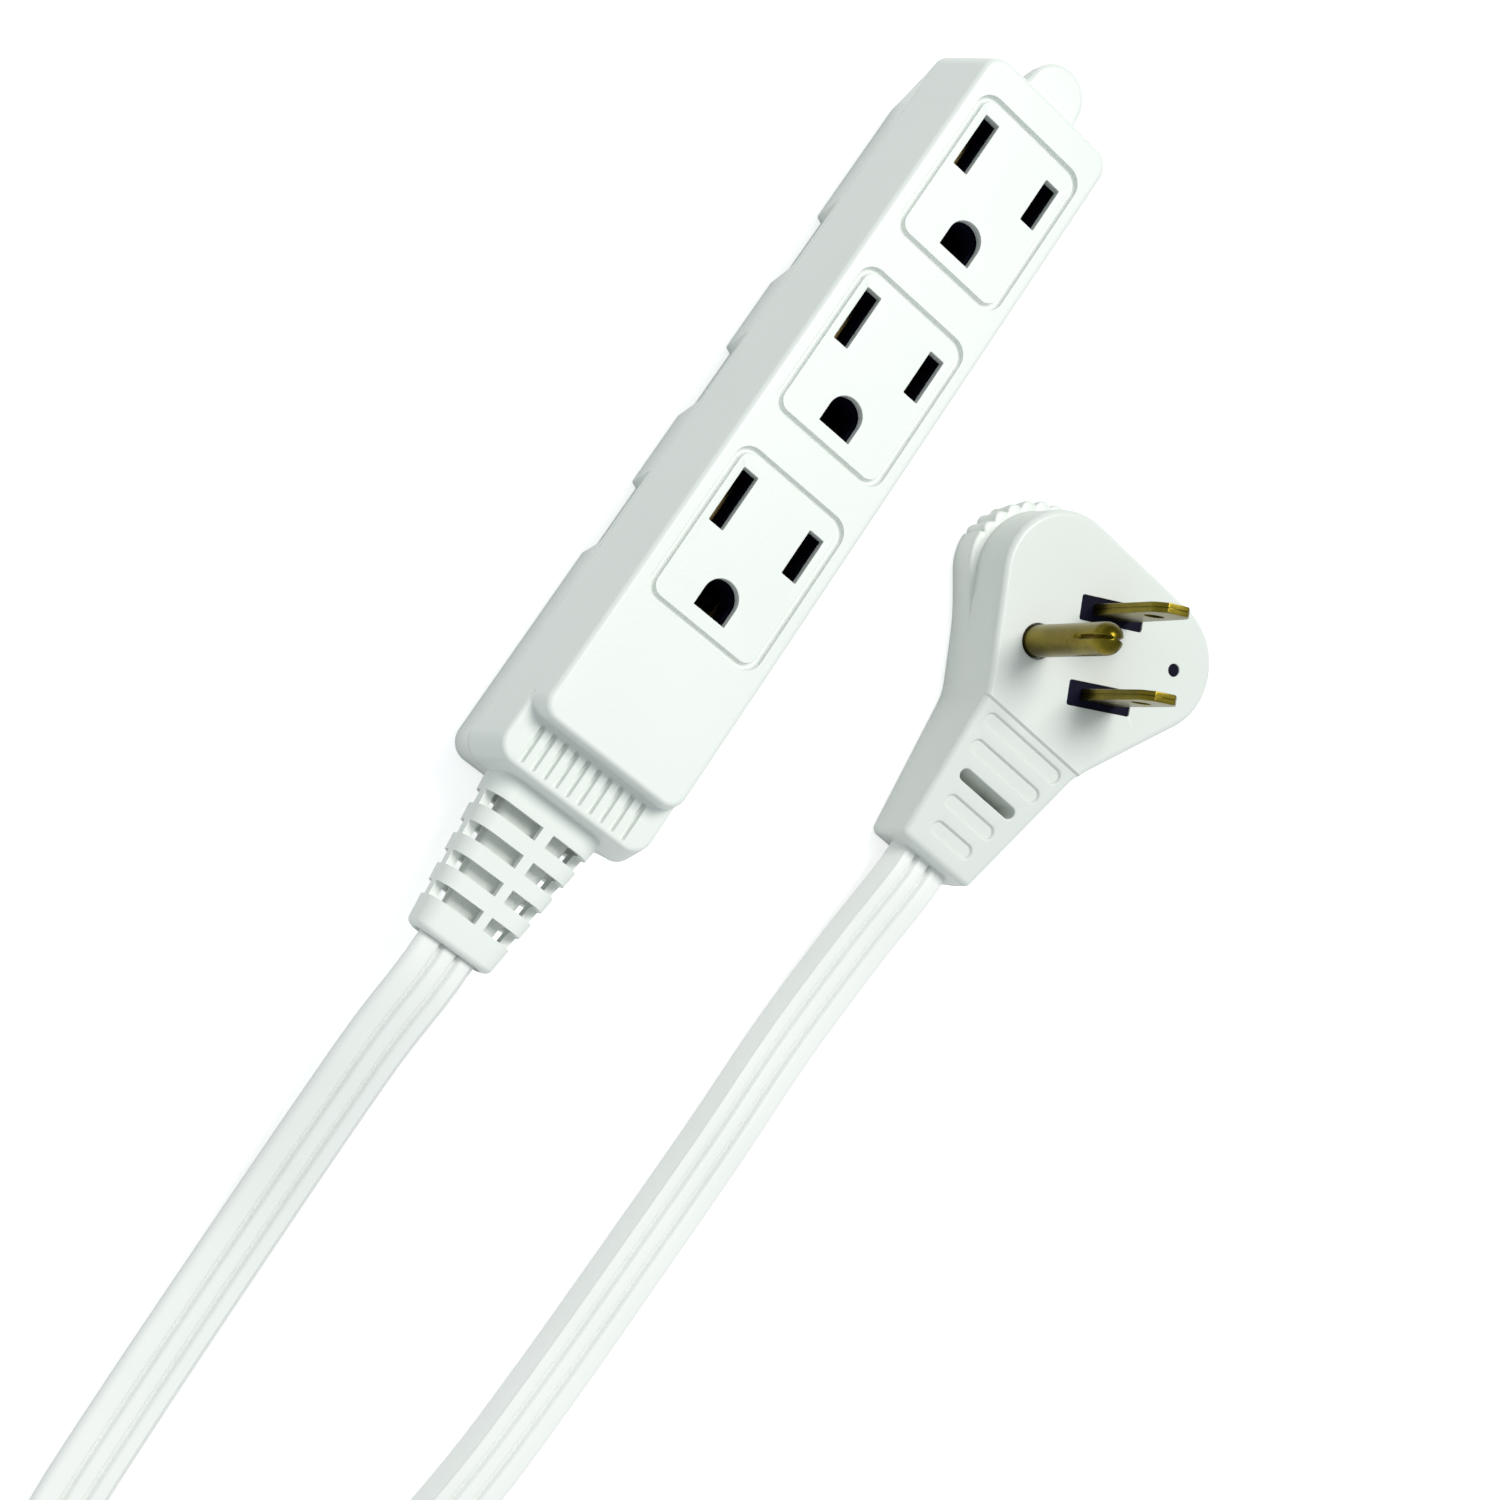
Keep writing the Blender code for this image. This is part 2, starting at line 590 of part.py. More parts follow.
def make_screws():
    """Pan-head screws driven up through the base into the cover's bosses."""
    for i, (x, y) in enumerate(SCREW_PLACES):
        top = SCREW_RECESS - GAP
        shank, head = SCREW_SHANK / 2, SCREW_HEAD / 2
        profile = [
            (head * 0.7, top - SCREW_HEAD_HEIGHT),
            (head, top - SCREW_HEAD_HEIGHT * 0.5),
            (head, top),
            (shank, top),
            (shank, SCREW_LENGTH),
            (0.3, SCREW_LENGTH + 1.6),
        ]
        bm = bmesh.new()
        add_loft(bm, [at_height(arc((x, y), r, 0, 330, 11), z) for r, z in profile])
        screw = make(f"case_screw_{i + 1}", bm, STEEL)
        bm = bmesh.new()
        low = top - SCREW_HEAD_HEIGHT - 1
        add_box(bm, x - 1.6, x + 1.6, y - 0.4, y + 0.4, low, low + 1.8)
        combine(screw, make(f"driver_slot_{i + 1}", bm), "DIFFERENCE")
        bm = bmesh.new()
        add_box(bm, x - 0.4, x + 0.4, y - 1.6, y + 1.6, low, low + 1.8)
        combine(screw, make(f"driver_cross_{i + 1}", bm), "DIFFERENCE")


# ---------------------------------------------------------------- plug


PLUG_ORIGIN = Matrix.Translation((PLUG_PLACE[0] * MM, PLUG_PLACE[1] * MM, 0))
PLUG_FRAME = PLUG_ORIGIN @ Matrix.Rotation(PLUG_TURN, 4, "Z")


def head_outline(grow=0.0):
    """The head's outline: two round corners, a straight tip and sides that run in to the neck."""
    radius, offset = PLUG_CORNER_RADIUS + grow, PLUG_CORNER_OFFSET
    run = (offset - NECK_START_HALF, -NECK_START)
    reach = math.hypot(*run)
    lean = math.degrees(math.atan2(run[1], run[0]) - math.acos(radius / reach))
    right = arc((offset, 0), radius, -lean, 90, 9)
    neck = (NECK_START_HALF + grow, NECK_START)
    return [neck] + right + [(-x, y) for x, y in reversed(right)] + [(-neck[0], neck[1])]


def prong_place(x, y):
    """A point of the prong pattern (blades at y = 0) in the plug's frame."""
    c, s = math.cos(PRONG_TURN), math.sin(PRONG_TURN)
    # the pattern's +y runs from the ground pin to the blades
    return PRONG_CENTRE[0] + s * x + c * y, PRONG_CENTRE[1] - c * x + s * y


def prong_box(bm, x, y, length, width, low, high):
    """A box whose length runs along the pattern's y and whose width runs along its x."""
    w, h = width / 2, length / 2
    shape = [(-w, -h), (w, -h), (w, h), (-w, h)]
    add_prism(bm, [prong_place(x + px, y + py) for px, py in shape], low, high)


def make_plug():
    top, grip = PLUG_HEIGHT, GRIP_HEIGHT
    cavity_top = top - PLATE_THICKNESS
    carrier_low = cavity_top - GAP - CARRIER_THICKNESS

    def neck_ring(v, half, low, high):
        return [(-half, v, low), (half, v, low), (half, v, high), (-half, v, high)]

    bm = bmesh.new()
    rounds = [(0.0, 0.8), (0.8, 0.0), (top - 1.2, 0.0), (top - 0.35, 0.35), (top, 1.2)]
    add_loft(bm, [at_height(head_outline(-i), z) for z, i in rounds])
    body = make("plug_overmould", bm, VINYL, PLUG_FRAME)

    bm = bmesh.new()
    slope = (NECK_START_HEIGHT - NECK_END_HEIGHT) / (NECK_START - NECK_END)
    stations = [
        (NECK_END, NECK_END_HALF - 1.2, 1.4, NECK_END_HEIGHT - 0.9),
        (NECK_END + 1.0, NECK_END_HALF, 0.5, NECK_END_HEIGHT),
        (NECK_START, NECK_START_HALF, 0.0, NECK_START_HEIGHT),
        (NECK_START + 4, NECK_START_HALF + 0.6, 0.0, NECK_START_HEIGHT + 4 * slope - 0.8),
    ]
    add_loft(bm, [neck_ring(*s) for s in stations])
    combine(body, make("plug_neck", bm, place=PLUG_FRAME), "UNION")

    bm = bmesh.new()
    radius = PLUG_CORNER_RADIUS + GRIP_OFFSET
    corner = arc((PLUG_CORNER_OFFSET, 0), radius, -22, 90, 2 * GRIP_NOTCHES)
    teeth = [(x * (1 + 0.02 * (i % 2)), y + 0.2 * (i % 2)) for i, (x, y) in enumerate(corner)]
    ring = [(6, -12)] + teeth + [(-x, y) for x, y in reversed(teeth)] + [(-6, -12)]
    add_prism(bm, ring, 0.5, grip)
    combine(body, make("plug_grip", bm, place=PLUG_FRAME), "UNION")

    bm = bmesh.new()
    for i, (half, depth) in enumerate(NECK_POCKETS):
        v = NECK_POCKET_START - i * NECK_POCKET_PITCH
        surface = NECK_START_HEIGHT + slope * (v - NECK_START)
        add_prism(bm, moved(pill(2 * half, NECK_POCKET_WIDTH), 0, v), surface - depth, top + 2)
    dot = prong_place(0, 12.2)
    add_prism(bm, arc(dot, 1.0, 0, 330, 11), cavity_top - 0.5, top + 1)
    combine(body, make("plug_pockets", bm, place=PLUG_FRAME), "DIFFERENCE")

    bm = bmesh.new()  # room for the carrier, for the wiring under it and for the cord's cores
    half, cord_z = CORD_WIDTH / 2, NECK_END_HEIGHT / 2
    cavity_low = min(carrier_low - 4.6, cord_z - LEAD_DIAMETER / 2)
    add_prism(bm, carrier_outline(GAP), cavity_low, cavity_top)
    combine(body, make("plug_cavity", bm, place=PLUG_FRAME), "DIFFERENCE")
    bm = bmesh.new()
    add_box(bm, -half, half, NECK_END - 2, NECK_START + 6, cord_z - 1.7, cord_z + 1.7)
    combine(body, make("plug_channel", bm, place=PLUG_FRAME), "DIFFERENCE")
    bm = bmesh.new()
    funnel = [(-half, NECK_START - 4), (half, NECK_START - 4), (9.8, -11.0), (-9.8, -11.0)]
    add_prism(bm, funnel, cord_z - 1.6, carrier_low - 0.8)
    combine(body, make("plug_funnel", bm, place=PLUG_FRAME), "DIFFERENCE")

    bm = bmesh.new()
    for side in (-1, 1):
        prong_box(bm, side * BLADE_SPACING / 2, 0, WINDOW_LENGTH, WINDOW_WIDTH, cavity_top - 0.5, top + 1)
    pin = prong_place(0, -BLADE_TO_GROUND)
    add_prism(bm, arc(pin, PIN_DIAMETER / 2 + GAP, 0, 345, 23), cavity_top - 0.5, top + 1)
    combine(body, make("prong_windows", bm, place=PLUG_FRAME), "DIFFERENCE")

    bm = bmesh.new()
    add_prism(bm, carrier_outline(0), carrier_low, cavity_top - GAP)
    carrier = make("prong_carrier", bm, BLACK, PLUG_FRAME)
    bm = bmesh.new()
    for side in (-1, 1):
        long, thick = BLADE_WIDTH + 2 * GAP, BLADE_THICKNESS + 2 * GAP
        prong_box(bm, side * BLADE_SPACING / 2, 0, long, thick, carrier_low - 1, top)
    add_prism(bm, arc(pin, PIN_DIAMETER / 2 + GAP, 0, 345, 23), carrier_low - 1, top)
    combine(carrier, make("carrier_prong_holes", bm, place=PLUG_FRAME), "DIFFERENCE")

    for name, side in (("neutral_blade", -1), ("line_blade", 1)):
        bm = bmesh.new()
        x, tip = side * BLADE_SPACING / 2, top + BLADE_REACH
        w, t = BLADE_WIDTH / 2, BLADE_THICKNESS / 2
        heights = [(carrier_low - 0.6, w, t), (tip - 2.2, w, t), (tip, w - 1.7, t - 0.45)]
        rings = []
        for z, long, thick in heights:
            shape = [(-thick, -long), (thick, -long), (thick, long), (-thick, long)]
            rings.append(at_height([prong_place(x + px, py) for px, py in shape], z))
        add_loft(bm, rings)
        blade = make(name, bm, BRASS, PLUG_FRAME)
        bm = bmesh.new()
        hole = arc((0, 0), PRONG_HOLE / 2, 0, 345, 15)
        rings = []
        for px in (-2, 2):
            rings.append([(*prong_place(x + px, py), tip - PRONG_HOLE_DROP + pz) for py, pz in hole])
        add_loft(bm, rings)
        combine(blade, make(f"{name}_hole", bm, place=PLUG_FRAME), "DIFFERENCE")

    bm = bmesh.new()
    r, tip = PIN_DIAMETER / 2, top + PIN_REACH
    dome = [(r * math.cos(a), tip - r + r * math.sin(a)) for a in (0.0, 0.5, 1.0, 1.35)]
    profile = [(r, carrier_low - 0.6)] + dome
    add_loft(bm, [at_height(arc(pin, rr, 0, 345, 23), z) for rr, z in profile])
    ground = make("ground_pin", bm, BRASS, PLUG_FRAME)
    bm = bmesh.new()
    prong_box(bm, 0, -BLADE_TO_GROUND, 0.5, PIN_DIAMETER + 2, tip - 4.0, tip + 1)
    combine(ground, make("ground_pin_slit", bm, place=PLUG_FRAME), "DIFFERENCE")

    make_plug_wiring(carrier_low, pin)


def carrier_outline(grow):
    """The prong carrier's plan: a rounded rectangle round the three prongs."""
    shape = rounded_rectangle(-9.4 - grow, 9.4 + grow, -15.6 - grow, 6.2 + grow, 2.5 + grow, 3)
    return [prong_place(x, y) for x, y in shape]


def make_plug_wiring(carrier_low, pin):
    """Crimp barrels under the prongs and the cord's three cores running to them."""
    cord_z, barrel = NECK_END_HEIGHT / 2, 2.4
    level = carrier_low - 0.6 - GAP - barrel / 2
    places = [
        ("neutral", prong_place(-BLADE_SPACING / 2, 0), NEUTRAL_WHITE),
        ("ground", pin, GREEN),
        ("line", prong_place(BLADE_SPACING / 2, 0), LINE_BLACK),
    ]
    places.sort(key=lambda item: item[1][0])
    for (name, spot, look), lane in zip(places, (-3.0, 0.0, 3.0)):
        v0 = spot[1] - 1.5
        ends = [(spot[0], v0 + 3.0, level), (spot[0], v0, level)]
        start = (spot[0], v0 - GAP, level)
        route = [
            start,
            (spot[0], v0 - 2.0, level),
            ((spot[0] + lane) / 2, (v0 + NECK_START) / 2 - 1, (level + cord_z) / 2),
            (lane, NECK_START - 1, cord_z),
            (lane, NECK_END + 1.0, cord_z),
        ]
        crimp = make_tube(f"plug_{name}_crimp", ends, barrel, BRASS, 2)
        crimp.matrix_world = PLUG_FRAME
        lead = make_tube(f"plug_{name}_lead", smooth(route, 3.5), LEAD_DIAMETER, look)
        lead.matrix_world = PLUG_FRAME


# ---------------------------------------------------------------- cord


def frames(points, ups):
    """A section's side and up vectors at each point, square to the run."""
    out = []
    for i, (p, up) in enumerate(zip(points, ups)):
        ahead = points[min(i + 1, len(points) - 1)] - points[max(i - 1, 0)]
        side = ahead.cross(up).normalized()
        out.append((p, side, side.cross(ahead).normalized()))
    return out


def add_flat_cord(bm, points, ups):
    """The flat cord's solid: a rounded rectangle carried along the points."""
    w, t = CORD_WIDTH / 2, CORD_THICKNESS / 2
    shape = arc((w - t, 0), t, -90, 90, 4) + arc((t - w, 0), t, 90, 270, 4)
    add_loft(bm, [[p + side * x + up * z for x, z in shape] for p, side, up in frames(points, ups)])


def flat_tube(name, points, tilts):
    """A flat cord as a curve: a stadium section that is tilted at each point."""
    curve = bpy.data.curves.new(name, "CURVE")
    curve.dimensions = "3D"
    curve.twist_mode = "Z_UP"
    curve.extrude = (CORD_WIDTH - CORD_THICKNESS) / 2 * MM
    curve.bevel_depth = CORD_THICKNESS / 2 * MM
    curve.bevel_resolution = 2
    curve.use_fill_caps = True
    line = curve.splines.new("POLY")
    line.points.add(len(points) - 1)
    for spot, p, tilt in zip(line.points, points, tilts):
        spot.co = (*(Vector(p) * MM), 1)
        spot.tilt = tilt
    curve.materials.append(VINYL)
    made = bpy.data.objects.new(name, curve)
    bpy.context.collection.objects.link(made)


LAY = CORD_THICKNESS / 2  # the cord's centre when it lies flat on the floor
EDGE = CORD_WIDTH / 2  # and when it stands on its edge in the coil


def coil_point(radius, angle):
    x, y = COIL_CENTRE
    return Vector((x + radius * math.cos(angle), y + radius * math.sin(angle), EDGE))


def coil_track(angle):
    """The outer strand's radius in the coil, at an angle counted on from the entry."""
    return COIL_OUTER - 2 * COIL_TURN_PITCH * (angle - COIL_ENTRY) / (2 * math.pi)


def make_cord():
    entry_a = coil_point(COIL_OUTER, COIL_ENTRY)
    entry_b = coil_point(COIL_OUTER - COIL_TURN_PITCH, COIL_ENTRY)
    heading = Vector((-math.sin(COIL_ENTRY), math.cos(COIL_ENTRY), 0))
    route_a = [
        (0, BOOT_END - GAP, SPLIT_HEIGHT),
        (0, BOOT_END - 5, SPLIT_HEIGHT - 0.1),
        (0.1, -91, 9.6),
        (1.5, -106.7, 4.9),
        (2.3, -119, 2.6),
        (2.6, -131.4, LAY),
        (2.8, -146, LAY),
        (3.3, -162, LAY),
        (4.8, -182, LAY),
        (5.2, -200, LAY),
    ]
    plug_exit = (PLUG_FRAME @ Vector((0, (NECK_END - GAP) * MM, 0))) / MM
    plug_ahead = (PLUG_FRAME @ Vector((0, (NECK_END - 4.5) * MM, 0))) / MM
    route_b = [
        (plug_exit.x, plug_exit.y, NECK_END_HEIGHT / 2),
        (plug_ahead.x, plug_ahead.y, NECK_END_HEIGHT / 2),
        (54.0, -40, 3.4),
        (53.3, -57.2, 2.1),
        (53.0, -74, LAY),
        (52.2, -93.1, LAY),
        (51.0, -116.6, LAY),
        (49.4, -134.2, LAY),
        (45.5, -154, LAY),
        (37.0, -172, LAY),
        (25.8, -188, LAY),
        (14.4, -202.5, LAY),
    ]
    for name, route, entry, flat_until, upright_from in (
        ("cord_outlet_end", route_a, entry_a, -158.0, -206.0),
        ("cord_plug_end", route_b, entry_b, -136.0, -190.0),
    ):
        route += [entry - heading * 18, entry - heading * 9, entry - heading * (GAP + 0.25)]
        points = smooth(route, 7.0)
        tilts = []
        for p in points:
            k = min(1, max(0, (flat_until - p.y) / (flat_until - upright_from)))
            upright = math.radians(90) * (3 * k**2 - 2 * k**3)
            tilts.append(math.radians(90) - upright)
            if k > 0:
                p.z = LAY + (EDGE - LAY) * math.sin(upright)
        flat_tube(name, points, tilts)

    # The coil's outer strand runs in by two pitches in a turn, so both ends meet the step it leaves.
    x, y = COIL_CENTRE
    half = CORD_THICKNESS / 2 + 0.1
    inner, sides = COIL_INNER - half, 48
    rings = []
    for i in range(sides + 1):
        a = COIL_ENTRY + (2 * math.pi - 0.004) * i / sides
        outer = coil_track(a) + half
        section = [(inner, 0.0), (outer, 0.0), (outer, CORD_WIDTH), (inner, CORD_WIDTH)]
        rings.append([(x + r * math.cos(a), y + r * math.sin(a), z) for r, z in section])
    bm = bmesh.new()
    add_loft(bm, rings, closed=True)
    coil = make("cord_coil", bm, VINYL)

    # In the middle the cord turns back in an S of two half circles.
    bend = COIL_INNER / 2
    start = COIL_ENTRY + 2 * math.pi * (COIL_OUTER - COIL_INNER) / (2 * COIL_TURN_PITCH)
    turn = Matrix.Rotation(start, 3, "Z")
    points, ups = [], []
    for sign, span in ((1, range(0, 13)), (-1, range(11, -1, -1))):
        for i in span:
            a = math.pi * i / 12
            local = Vector((sign * (bend + bend * math.cos(a)), sign * bend * math.sin(a), EDGE))
            points.append(turn @ local + Vector((x, y, 0)))
            ups.append(turn @ Vector((math.cos(a), math.sin(a), 0)))
    bm = bmesh.new()
    add_flat_cord(bm, points, ups)
    combine(coil, make("coil_middle", bm), "UNION")


boot_opening = make_boot_opening()
make_top_cover()
make_base_shell()
inner_end = make_boot()
make_contact_carrier()
ground_lines = [y - BLADE_TO_GROUND for y in OUTLET_LINES]
tail = make_bus("neutral_bus", -BLADE_SPACING / 2, OUTLET_LINES, 8.0, 0.65, 2.0)
make_bus("line_bus", BLADE_SPACING / 2, OUTLET_LINES, 7.0, 0.65, 2.0)
make_bus("ground_bus", 0.0, ground_lines, 5.0, 2.1, 2.8)
make_wiring(inner_end, tail)
make_screws()
make_plug()
make_cord()
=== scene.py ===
"""Finished looks of a white three-outlet extension cord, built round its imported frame.

Shapes are worked out in millimetres, in the frame's own axes, and become metres in Shell.piece.
"""

import json
import math

import bmesh
import bpy
import numpy as np
from mathutils import Matrix, Vector
from mathutils.geometry import delaunay_2d_cdt


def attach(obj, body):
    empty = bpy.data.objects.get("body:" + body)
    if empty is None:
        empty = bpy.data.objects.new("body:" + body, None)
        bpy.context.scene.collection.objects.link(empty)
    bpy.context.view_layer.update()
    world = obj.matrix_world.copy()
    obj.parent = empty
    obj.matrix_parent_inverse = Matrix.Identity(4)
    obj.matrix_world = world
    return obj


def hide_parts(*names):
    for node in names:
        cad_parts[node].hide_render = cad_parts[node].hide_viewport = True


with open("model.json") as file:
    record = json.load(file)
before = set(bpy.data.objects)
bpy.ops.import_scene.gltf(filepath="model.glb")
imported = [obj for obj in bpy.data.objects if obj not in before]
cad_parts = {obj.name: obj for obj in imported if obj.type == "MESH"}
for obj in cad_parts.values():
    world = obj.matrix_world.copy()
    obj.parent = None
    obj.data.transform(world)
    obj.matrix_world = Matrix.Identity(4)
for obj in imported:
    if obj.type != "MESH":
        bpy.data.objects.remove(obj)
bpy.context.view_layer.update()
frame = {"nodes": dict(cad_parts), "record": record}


# ---------------------------------------------------------------- camera, table and light
# The viewer stands off the block's near left corner and looks steeply down on it.  The table
# is plain white.  One soft box past the block's far end lights it, in an evenly white room.

view_right = Vector((0.7295, 0.5382, 0.4221))
view_top = Vector((-0.5859, 0.8101, -0.0204))
view_back = Vector((-0.3530, -0.2325, 0.9063))
viewpoint = Vector((-0.10355, -0.11037, 0.32987))

camera = bpy.data.objects.new("camera", bpy.data.cameras.new("camera"))
camera.data.lens = 60.53
camera.data.sensor_width = 36.0
camera.data.clip_start = 0.01
view_axes = Matrix((view_right, view_top, view_back)).transposed().to_4x4()
camera.matrix_world = Matrix.Translation(viewpoint) @ view_axes
bpy.context.scene.collection.objects.link(camera)
bpy.context.scene.camera = camera

bpy.context.scene.view_settings.view_transform = "Standard"

white_room = bpy.data.worlds.new("white_room")
white_room.use_nodes = True
room_walls = white_room.node_tree.nodes["Background"]
room_walls.inputs["Color"].default_value = (0.92, 1.0, 1.02, 1.0)
room_walls.inputs["Strength"].default_value = 0.51
bpy.context.scene.world = white_room


def soft_box(name, place, aim, size, watts):
    """A square area light at a place, turned to face a point."""
    light = bpy.data.objects.new(name, bpy.data.lights.new(name, "AREA"))
    light.data.size = size
    light.data.energy = watts
    light.data.color = (1.0, 0.99, 0.95)
    light.location = place
    light.rotation_euler = (Vector(aim) - Vector(place)).to_track_quat("-Z", "Y").to_euler()
    bpy.context.scene.collection.objects.link(light)


soft_box("key_box", (0.1, 1.0, 2.3), (0.0, 0.0, 0.0), 1.0, 42.5)

table_white = bpy.data.materials.new("table_white")
table_white.use_nodes = True
table_shader = table_white.node_tree.nodes["Principled BSDF"]
table_shader.inputs["Base Color"].default_value = (0.85, 0.85, 0.85, 1.0)
table_shader.inputs["Roughness"].default_value = 0.9
table_shader.inputs["Specular IOR Level"].default_value = 0.1
table_shader.inputs["Emission Color"].default_value = (1.0, 1.0, 1.0, 1.0)
# A glow that only the viewer sees lifts the table to full white and lights nothing else.
seen = table_white.node_tree.nodes.new("ShaderNodeLightPath")
lift = table_white.node_tree.nodes.new("ShaderNodeMath")
lift.operation = "MULTIPLY"
lift.inputs[1].default_value = 0.6
table_white.node_tree.links.new(seen.outputs["Is Camera Ray"], lift.inputs[0])
table_white.node_tree.links.new(lift.outputs[0], table_shader.inputs["Emission Strength"])
table_mesh = bpy.data.meshes.new("table")
table_half, table_top = 3.0, -0.0001
table_mesh.from_pydata(
    [(x * table_half, y * table_half, table_top) for x, y in ((-1, -1), (1, -1), (1, 1), (-1, 1))],
    [],
    [(0, 1, 2, 3)],
)
table_mesh.materials.append(table_white)
table = bpy.data.objects.new("table", table_mesh)
bpy.context.scene.collection.objects.link(table)


# ---------------------------------------------------------------- flat cord
# Three cores side by side in one extruded white vinyl jacket, 9.8 by 3.9 mm, with a groove on
# each side of the middle core.  It leaves the strain relief, lies flat, turns onto its edge and
# is wound double into a coil, with its two ends outside, and comes back to the plug.

MM = 0.001


def catmull_rom(route, spacing):
    """Evenly spaced points on the cubic through every route point.

    Between b and c, with a before and d after, the point at t from 0 to 1 is half of
    2b + (c - a) t + (2a - 5b + 4c - d) t^2 + (3b - a - 3c + d) t^3.
    """
    route = np.array(route, float)
    knots = np.vstack([2 * route[:1] - route[1:2], route, 2 * route[-1:] - route[-2:-1]])
    a, b, c, d = (knots[i : len(knots) - 3 + i, None, :] for i in range(4))
    t = np.linspace(0, 1, 24, endpoint=False)[None, :, None]
    dense = 0.5 * (2 * b + (c - a) * t + (2 * a - 5 * b + 4 * c - d) * t**2 + (3 * b - a - 3 * c + d) * t**3)
    dense = np.vstack([dense.reshape(-1, 3), route[-1:]])
    run = np.concatenate([[0.0], np.cumsum(np.linalg.norm(np.diff(dense, axis=0), axis=1))])
    goal = np.linspace(0, run[-1], max(3, round(run[-1] / spacing) + 1))
    return np.stack([np.interp(goal, run, dense[:, k]) for k in range(3)], axis=1)


def noise_bump(nodes, links, shader, vector, scale, depth):
    """Noise of a given scale per metre, as a bump of a given depth in metres."""
    noise = nodes.new("ShaderNodeTexNoise")
    noise.inputs["Scale"].default_value = scale
    noise.inputs["Detail"].default_value = 3.0
    bump = nodes.new("ShaderNodeBump")
    bump.inputs["Distance"].default_value = depth
    bump.inputs["Strength"].default_value = 1.0
    links.new(vector, noise.inputs["Vector"])
    links.new(noise.outputs["Fac"], bump.inputs["Height"])
    links.new(bump.outputs["Normal"], shader.inputs["Normal"])


def plastic(name, light, dark, roughness, grain, depth, mottle=35.0, gloss=0.45):
    """A moulded plastic: two close colours in slow clouds, a fine skin and uneven gloss."""
    made = bpy.data.materials.new(name)
    made.use_nodes = True
    nodes, links = made.node_tree.nodes, made.node_tree.links
    shader = nodes["Principled BSDF"]
    place = nodes.new("ShaderNodeTexCoord").outputs["Object"]
    clouds = nodes.new("ShaderNodeTexNoise")
    clouds.inputs["Scale"].default_value = mottle
    clouds.inputs["Detail"].default_value = 4.0
    links.new(place, clouds.inputs["Vector"])
    tint = nodes.new("ShaderNodeValToRGB")
    tint.color_ramp.elements[0].position = 0.35
    tint.color_ramp.elements[0].color = (*dark, 1.0)
    tint.color_ramp.elements[1].position = 0.65
    tint.color_ramp.elements[1].color = (*light, 1.0)
    links.new(clouds.outputs["Fac"], tint.inputs["Fac"])
    links.new(tint.outputs["Color"], shader.inputs["Base Color"])
    wear = nodes.new("ShaderNodeMapRange")
    wear.inputs["To Min"].default_value = roughness - 0.05
    wear.inputs["To Max"].default_value = roughness + 0.07
    links.new(clouds.outputs["Fac"], wear.inputs["Value"])
    links.new(wear.outputs["Result"], shader.inputs["Roughness"])
    shader.inputs["Specular IOR Level"].default_value = gloss
    noise_bump(nodes, links, shader, place, grain, depth)
    return made


weld_distance, shortest_edge = 2e-6, 1e-7  # in metres


